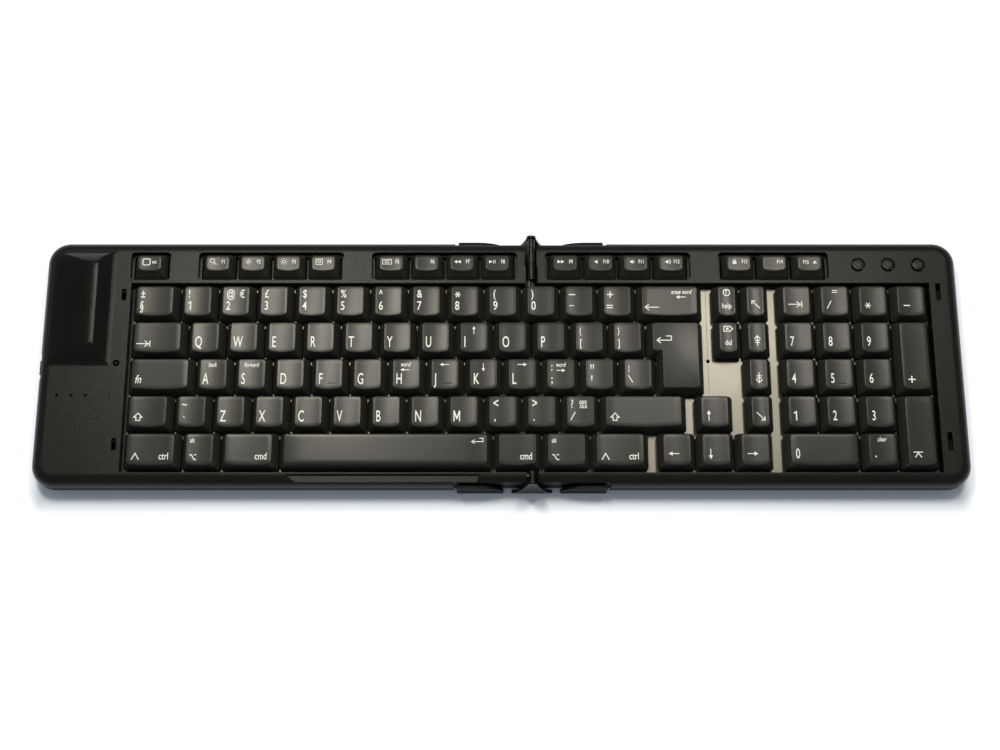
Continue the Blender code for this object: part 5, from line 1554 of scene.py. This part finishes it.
def colour_setting(name, description, default):
    return bpy.props.FloatVectorProperty(
        name=name, description=description, subtype="COLOR", size=3, min=0.0, max=1.0, default=default,
    )


def size_setting(name, description, default, low, high):
    return bpy.props.FloatProperty(name=name, description=description, default=default, min=low, max=high)


def count_setting(name, description, default, low, high):
    return bpy.props.IntProperty(name=name, description=description, default=default, min=low, max=high)


class KeyboardCase(bpy.types.PropertyGroup):
    colour: colour_setting("Case colour", "Moulded case plastic", (0.0076, 0.0074, 0.0063))
    plate_colour: colour_setting("Plate colour", "Metal plate under the keys", (0.112, 0.108, 0.094))
    grain: size_setting("Grain", "Grain size of the case surface, in millimetres", 0.55, 0.05, 3.0)
    grain_depth: size_setting("Grain depth", "Depth of the case grain, in millimetres", 0.09, 0.0, 1.0)
    opening_bevel: size_setting("Opening bevel", "Bevel of the deck's openings, millimetres", 0.35, 0.0, 1.5)
    edge_segments: count_setting("Edge segments", "Steps in the rounded edge", 10, 3, 24)
    corner_segments: count_setting("Corner segments", "Steps in a case corner", 14, 3, 32)
    bump_segments: count_setting("Bump segments", "Steps in the housing's slopes", 22, 3, 48)


class KeyboardCaps(bpy.types.PropertyGroup):
    colour: colour_setting("Cap colour", "Key cap plastic", (0.029, 0.0285, 0.0258))
    roughness: size_setting("Cap roughness", "Roughness of the caps", 0.26, 0.0, 1.0)
    dish: size_setting("Dish", "Depth of the hollow across a cap's top, in millimetres", 0.33, 0.0, 2.0)
    bow: size_setting("Bow", "How far a top's front rim bows forward, in millimetres", 0.75, 0.0, 2.0)
    rim_radius: size_setting("Rim radius", "Rounding where skirt meets top, in millimetres", 0.45, 0.05, 2.0)
    base_corner: size_setting("Base corner", "Corner radius at the skirt, in millimetres", 1.7, 0.2, 4.0)
    top_corner: size_setting("Top corner", "Corner radius of the top, in millimetres", 1.5, 0.2, 4.0)
    corner_segments: count_setting("Corner segments", "Steps in a cap's corner", 5, 2, 12)


class KeyboardLegends(bpy.types.PropertyGroup):
    colour: colour_setting("Legend colour", "Printed white", (0.92, 0.92, 0.88))
    condense: size_setting("Condense", "Width of all letters against their usual one", 1.0, 0.5, 1.5)
    weight: size_setting("Weight", "Growth of each letter's outline, in millimetres", 0.05, -0.1, 0.3)
    stroke: size_setting("Stroke", "Width of a sign's lines, in millimetres", 0.46, 0.1, 1.5)
    raise_mm: size_setting("Raise", "Thickness of the print above the cap, in millimetres", 0.03, 0.01, 0.3)


class KeyboardStage(bpy.types.PropertyGroup):
    floor_colour: colour_setting("Floor colour", "Pale floor", (0.80, 0.86, 0.96))
    lamp_watts: size_setting("Lamps", "Power of the left lamp, in watts", 3.25, 0.0, 500.0)
    lamp_colour: colour_setting("Lamp colour", "Colour of the two lamps", (1.0, 0.95, 0.82))
    sky: size_setting("Sky", "Strength of the even light around", 0.33, 0.0, 10.0)
    white: size_setting("White", "Light that only the camera sees on the floor around", 0.50, 0.0, 2.0)


# Operators

# The case's roughness and gloss, and in raised the painted shade: the share of the case's colour left above
# the deck
CASE_FINISH_AND_PAINTED_SHADE = {"roughness": 0.29, "gloss": 0.17, "raised": 0.5}
# Painted shade: the metal plate is nearly black from here back, under the back row
PAINTED_SHADE_FROM_Y = F_ROW_Y - 6.5


class KEYBOARD_OT_materials(bpy.types.Operator):
    """Make the surfaces and give the solids that stay visible theirs"""

    bl_idname = "keyboard.materials"
    bl_label = "Materials"

    def execute(self, context):
        case = context.scene.keyboard_case
        caps = context.scene.keyboard_caps
        shell = tuple(case.colour)
        cap = tuple(caps.colour)
        white = tuple(context.scene.keyboard_legends.colour)
        MATERIALS.update({
            "case": moulded_plastic(
                "case plastic", shell, grain_mm=case.grain, depth_mm=case.grain_depth, **CASE_FINISH_AND_PAINTED_SHADE,
            ),
            "cap": moulded_plastic("cap plastic", cap, caps.roughness, 0.16, 0.006, 0.20),
            "relief": moulded_plastic("relief", scaled(cap, 0.8), 0.42, 0.2, 0.01, 0.3),
            "tab": moulded_plastic("tab plastic", scaled(shell, 0.8), 0.45, 0.3, 0.02, 0.2),
            "base": moulded_plastic("base plastic", scaled(shell, 0.6), 0.45, 0.3, 0.02, 0.10),
            "lamp": moulded_plastic("lamp window", (0.002, 0.002, 0.002), 0.5, 0.3, 0.0, 0.05),
            "hidden": moulded_plastic("dark slide", (0.003, 0.003, 0.003), 0.6, 0.3, 0.01, 0.05),
            "hook": moulded_plastic("blackened steel", (0.004, 0.004, 0.004), 0.6, 0.3, 0.0, 0.06),
            "plate": satin_metal("satin plate", tuple(case.plate_colour), 0.33, 0.95, PAINTED_SHADE_FROM_Y),
            "steel": satin_metal("steel", (0.62, 0.61, 0.58), 0.28, 1.0),
            "rubber": plain("foot rubber", (0.018, 0.018, 0.018), 0.85, 0.0, 0.4, 0.03),
            "film": plain("clear film", (0.62, 0.60, 0.48), 0.30),
            "board": plain("board", (0.02, 0.13, 0.06), 0.45, 0.0, 1.2, 0.02),
            "cell": plain("cell sleeve", (0.22, 0.24, 0.27), 0.32, 0.4),
            "ink": plain("printed white", white, 0.50, 0.0, 0.2, 0.003),
            "line": plain("seam", (0.10, 0.09, 0.075), 0.6),
        })
        for name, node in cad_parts.items():
            node.data.materials.clear()
            node.data.materials.append(material(look_of(name)))
        return {"FINISHED"}


def look_of(node):
    """Which surface a solid gets from its name."""
    for part, look in (
        ("foot", "rubber"), ("key_plate", "plate"), ("membrane", "film"), ("board", "board"),
        ("battery_cell", "cell"), ("contact", "steel"), ("hook", "hook"), ("light_pipe", "lamp"),
        ("release", "hidden"), ("hinge_plate", "case"), ("case", "case"), ("door", "case"),
    ):
        if part in node:
            return look
    return "cap"


class KEYBOARD_OT_cases(bpy.types.Operator):
    """Build the two upper and the two lower shells"""

    bl_idname = "keyboard.cases"
    bl_label = "Shells"

    def execute(self, context):
        for side in SIGN:
            body = f"{side}_half"
            place_piece(f"{side}_upper_shell", upper_case_mesh(side), body, "case", f"{side}_upper_case")
            place_piece(f"{side}_lower_shell", lower_case_mesh(side), body, "base", f"{side}_lower_case")
        return {"FINISHED"}


class KEYBOARD_OT_hinge(bpy.types.Operator):
    """Build the end plates of the hinge with their pins"""

    bl_idname = "keyboard.hinge"
    bl_label = "Hinge plates"

    def execute(self, context):
        for end, direction, tip in (("rear", 1.0, FIELD_BACK + 0.5), ("front", -1.0, FIELD_FRONT - 0.5)):
            name = f"{end}_end_plate"
            place_piece(name, end_plate_mesh(name, direction, tip), "left_half", "case", f"{end}_hinge_plate")
        return {"FINISHED"}


class KEYBOARD_OT_plate_seam(bpy.types.Operator):
    """Lay the thin seam on the right metal plate"""

    bl_idname = "keyboard.plate_seam"
    bl_label = "Plate seam"

    def execute(self, context):
        bm = bmesh.new()
        for y0, y1 in ((2.6, FIELD_BACK - 0.3), (-55.6, 0.25)):
            add_box(bm, hinge_side(88.2), hinge_side(88.4), y0, y1, 8.9, 9.03)
        place_piece("plate_seam", to_mesh(bm, "plate_seam"), "right_half", "line")
        return {"FINISHED"}


class KEYBOARD_OT_caps(bpy.types.Operator):
    """Build every key cap: fixed ones per half, and each travelling one by itself"""

    bl_idname = "keyboard.caps"
    bl_label = "Key caps"

    def execute(self, context):
        shapes = {}
        for side in SIGN:
            fixed = {}
            for key in keys_of(side):
                shape = key.size_class()
                if shape not in shapes:
                    mesh = cap_mesh("cap", *key.base, *key.top, key.shift, key.dish)
                    shapes[shape] = linked_object("cap", mesh)
                if key.node:
                    mesh = shapes[shape].data.copy()
                    mesh.transform(Matrix.Translation((key.x * MM, key.y * MM, 0.0)))
                    place_piece(f"{key.node}_cap", mesh, key.node, "cap", key.node)
                else:
                    fixed.setdefault(shape, []).append((key.x, key.y))
            meshes = [repeated("caps", shapes[shape], places, "cap") for shape, places in fixed.items()]
            name = f"{side}_fixed_caps"
            place_piece(name, joined(name, meshes), f"{side}_half", "cap", f"{side}_keypad")
        place_piece("return_cap", return_cap_mesh("return_cap"), "return_key", "cap", "return_key")
        for cap in shapes.values():
            bpy.data.objects.remove(cap, do_unlink=True)
        return {"FINISHED"}


# The finger bars: half sizes, the place from the cap's middle, rings as (inset, height over the hollow)
BAR_HALF_X = 1.8
BAR_HALF_Y = 0.3
BAR_SHIFT = (1.4, -4.5)
BAR_PROFILE = ((0.0, -0.4), (0.0, 0.08), (0.12, 0.22))
BARS = (
    ("f_bar", "key_f", 5.25),
    ("j_bar", "key_j", 8.25),
    ("pad_5_bar", "right_half", PAD_UNIT + 1.5),
)


class KEYBOARD_OT_legends(bpy.types.Operator):
    """Print the letters and signs on the caps, and raise the three finger bars"""

    bl_idname = "keyboard.legends"
    bl_label = "Legends"

    def execute(self, context):
        for side in SIGN:
            fixed = bmesh.new()
            for key in keys_of(side):
                target = bmesh.new() if key.node else fixed
                for legend in key.legends:
                    add_legend(target, key, legend)
                if key.node:
                    self.print_on(f"{key.node}_legend", target, key.node)
            self.print_on(f"{side}_fixed_legends", fixed, f"{side}_half")
        bm = bmesh.new()
        top = (PITCH - SIDE_TAPER, 2.0 * PITCH - DEPTH_TAPER)
        cap = Key(unit_x(14.25), row_y(1.5), top, top, TOP_SHIFT, 0.0, [])
        add_legend(bm, cap, sign("return", 1.1, 24.4))
        self.print_on("return_legend", bm, "return_key")
        for name, body, unit in BARS:
            self.raise_bar(name, body, unit)
        return {"FINISHED"}

    def print_on(self, name, bm, body):
        place_piece(name, slab_mesh(name, bm), body, "ink")

    def raise_bar(self, name, body, unit):
        x = unit_x(unit) + BAR_SHIFT[0]
        y = row_y(2) + BAR_SHIFT[1]
        hollow = KEY_TOP_Z - 0.95 * bpy.context.scene.keyboard_caps.dish
        rings = []
        for inset, up in BAR_PROFILE:
            half_x = BAR_HALF_X - inset
            half_y = BAR_HALF_Y - inset
            outline = rounded(box_corners(x - half_x, x + half_x, y - half_y, y + half_y), 0.15, 3)
            rings.append([(px, py, hollow + up) for px, py in outline])
        place_piece(name, to_mesh(ring_body(rings), name), body, "cap")


class KEYBOARD_OT_buttons(bpy.types.Operator):
    """Build the three round buttons with their raised signs, and the small round one"""

    bl_idname = "keyboard.buttons"
    bl_label = "Round buttons"

    def execute(self, context):
        for i, (name, shape) in enumerate(BUTTON_SIGNS.items()):
            x = hinge_side(BUTTON_X + BUTTON_PITCH * i)
            self.turn(f"{name}_cap", name, "case", x, BUTTON_Y, BUTTON_PROFILE, 48)
            place_piece(f"{name}_sign", relief_mesh(f"{name}_sign", x, SIGNS[shape]), name, "relief")
        x = hinge_side(CONNECT_X)
        self.turn("connect_cap", "connect_button", "tab", x, CONNECT_Y, CONNECT_PROFILE, 32)
        return {"FINISHED"}

    def turn(self, name, node, look, x, y, profile, sides):
        bm = bmesh.new()
        add_turned(bm, x, y, profile, sides)
        place_piece(name, to_mesh(bm, name), node, look, node)


# The stage, in metres
FLOOR_HALF_MM = 3000.0
SKY_COLOUR = (0.92, 0.98, 1.0, 1.0)
LAMPS = {"left lamp": ((-0.200, 0.28, 0.80), 1.0), "right lamp": ((0.235, 0.28, 0.80), 0.66)}
LAMP_SIZE = (0.125, 0.24)
SENSOR_MM = 36.0
LENS_MM = 57.2
CAMERA_PLACE = (-0.0007, -0.2293, 0.7698)
CAMERA_DOWN = 73.62

# Painted shade: inside this box the camera sees no added white, so the floor round the keyboard stays darker
# than beyond it, with the keyboard's own shadow in it; the white fades in around it
SHADOW_MIDDLE = (0.0, -0.0055, 0.0)
SHADOW_HALF = (0.226, 0.062, 0.0)
SHADOW_FADE = 0.011


class KEYBOARD_OT_stage(bpy.types.Operator):
    """Lay the floor and set the light and the camera at the photograph's view"""

    bl_idname = "keyboard.stage"
    bl_label = "Stage"

    def execute(self, context):
        scene = context.scene
        stage = scene.keyboard_stage
        bm = bmesh.new()
        add_box(bm, -FLOOR_HALF_MM, FLOOR_HALF_MM, -FLOOR_HALF_MM, FLOOR_HALF_MM, -2.0, 0.0)
        floor = linked_object("floor", to_mesh(bm, "floor"))
        floor.data.materials.append(self.floor_look(stage))
        world = bpy.data.worlds.new("even light")
        world.use_nodes = True
        back = world.node_tree.nodes["Background"]
        back.inputs["Color"].default_value = SKY_COLOUR
        back.inputs["Strength"].default_value = stage.sky
        scene.world = world
        lamps = [self.lamp(name, place, share, stage) for name, (place, share) in LAMPS.items()]
        data = bpy.data.cameras.new("camera")
        data.sensor_width = SENSOR_MM
        data.lens = LENS_MM
        camera = linked_object("camera", data)
        camera.location = CAMERA_PLACE
        camera.rotation_euler = (math.radians(90.0 - CAMERA_DOWN), 0.0, 0.0)
        scene.camera = camera
        scene.view_settings.view_transform = "Standard"
        return {"FINISHED"}

    def floor_look(self, stage):
        """A pale floor to which the camera alone sees some white added, away from the keyboard."""
        shader = Shader("pale floor", tuple(stage.floor_colour), 0.9)
        seen = shader.node("ShaderNodeLightPath", output="Is Camera Ray")
        for kind in ("Is Glossy Ray", "Is Transmission Ray"):
            seen = seen + shader.node("ShaderNodeLightPath", output=kind)
        apart = shader.vector("SUBTRACT", 0, shader.place(), SHADOW_MIDDLE)
        apart = shader.vector("ABSOLUTE", 0, apart)
        apart = shader.vector("SUBTRACT", 0, apart, SHADOW_HALF)
        apart = shader.vector("MAXIMUM", 0, apart, (0.0, 0.0, 0.0))
        share = shader.node("ShaderNodeMapRange", interpolation_type="SMOOTHSTEP", links={
            "Value": shader.vector("LENGTH", 1, apart), "From Min": 0.0, "From Max": SHADOW_FADE,
        })
        white = shader.vector("SCALE", 0, (1.0, 1.0, 1.0), Scale=seen * share * stage.white)
        shader.set("Emission Color", white)
        shader.set("Emission Strength", 1.0)
        return shader.material

    def lamp(self, name, place, share, stage):
        """A lamp above that points at the middle of the keyboard."""
        data = bpy.data.lights.new(name, "AREA")
        data.shape = "RECTANGLE"
        data.size, data.size_y = LAMP_SIZE
        data.energy = stage.lamp_watts * share
        data.color = stage.lamp_colour
        light = linked_object(name, data)
        light.location = place
        light.rotation_euler = (-Vector(place)).to_track_quat("-Z", "Y").to_euler()
        return light


OPERATORS = (
    KEYBOARD_OT_materials,
    KEYBOARD_OT_cases,
    KEYBOARD_OT_hinge,
    KEYBOARD_OT_plate_seam,
    KEYBOARD_OT_caps,
    KEYBOARD_OT_legends,
    KEYBOARD_OT_buttons,
    KEYBOARD_OT_stage,
)
SETTINGS = {
    "keyboard_case": KeyboardCase,
    "keyboard_caps": KeyboardCaps,
    "keyboard_legends": KeyboardLegends,
    "keyboard_stage": KeyboardStage,
}


class KEYBOARD_PT_panel(bpy.types.Panel):
    """Settings and steps of the keyboard's looks"""

    bl_idname = "KEYBOARD_PT_panel"
    bl_label = "Folding keyboard"
    bl_space_type = "VIEW_3D"
    bl_region_type = "UI"
    bl_category = "Keyboard"

    def draw(self, context):
        for name, kind in SETTINGS.items():
            box = self.layout.box()
            for prop in kind.__annotations__:
                box.prop(getattr(context.scene, name), prop)
        for operator in OPERATORS:
            self.layout.operator(operator.bl_idname)


def register():
    for kind in (*SETTINGS.values(), *OPERATORS, KEYBOARD_PT_panel):
        bpy.utils.register_class(kind)
    for name, kind in SETTINGS.items():
        setattr(bpy.types.Scene, name, bpy.props.PointerProperty(type=kind))


def unregister():
    for name in SETTINGS:
        delattr(bpy.types.Scene, name)
    for kind in (KEYBOARD_PT_panel, *reversed(OPERATORS), *reversed(SETTINGS.values())):
        bpy.utils.unregister_class(kind)


def main():
    register()
    for operator in OPERATORS:
        group, name = operator.bl_idname.split(".")
        getattr(getattr(bpy.ops, group), name)()


if __name__ == "__main__":
    main()
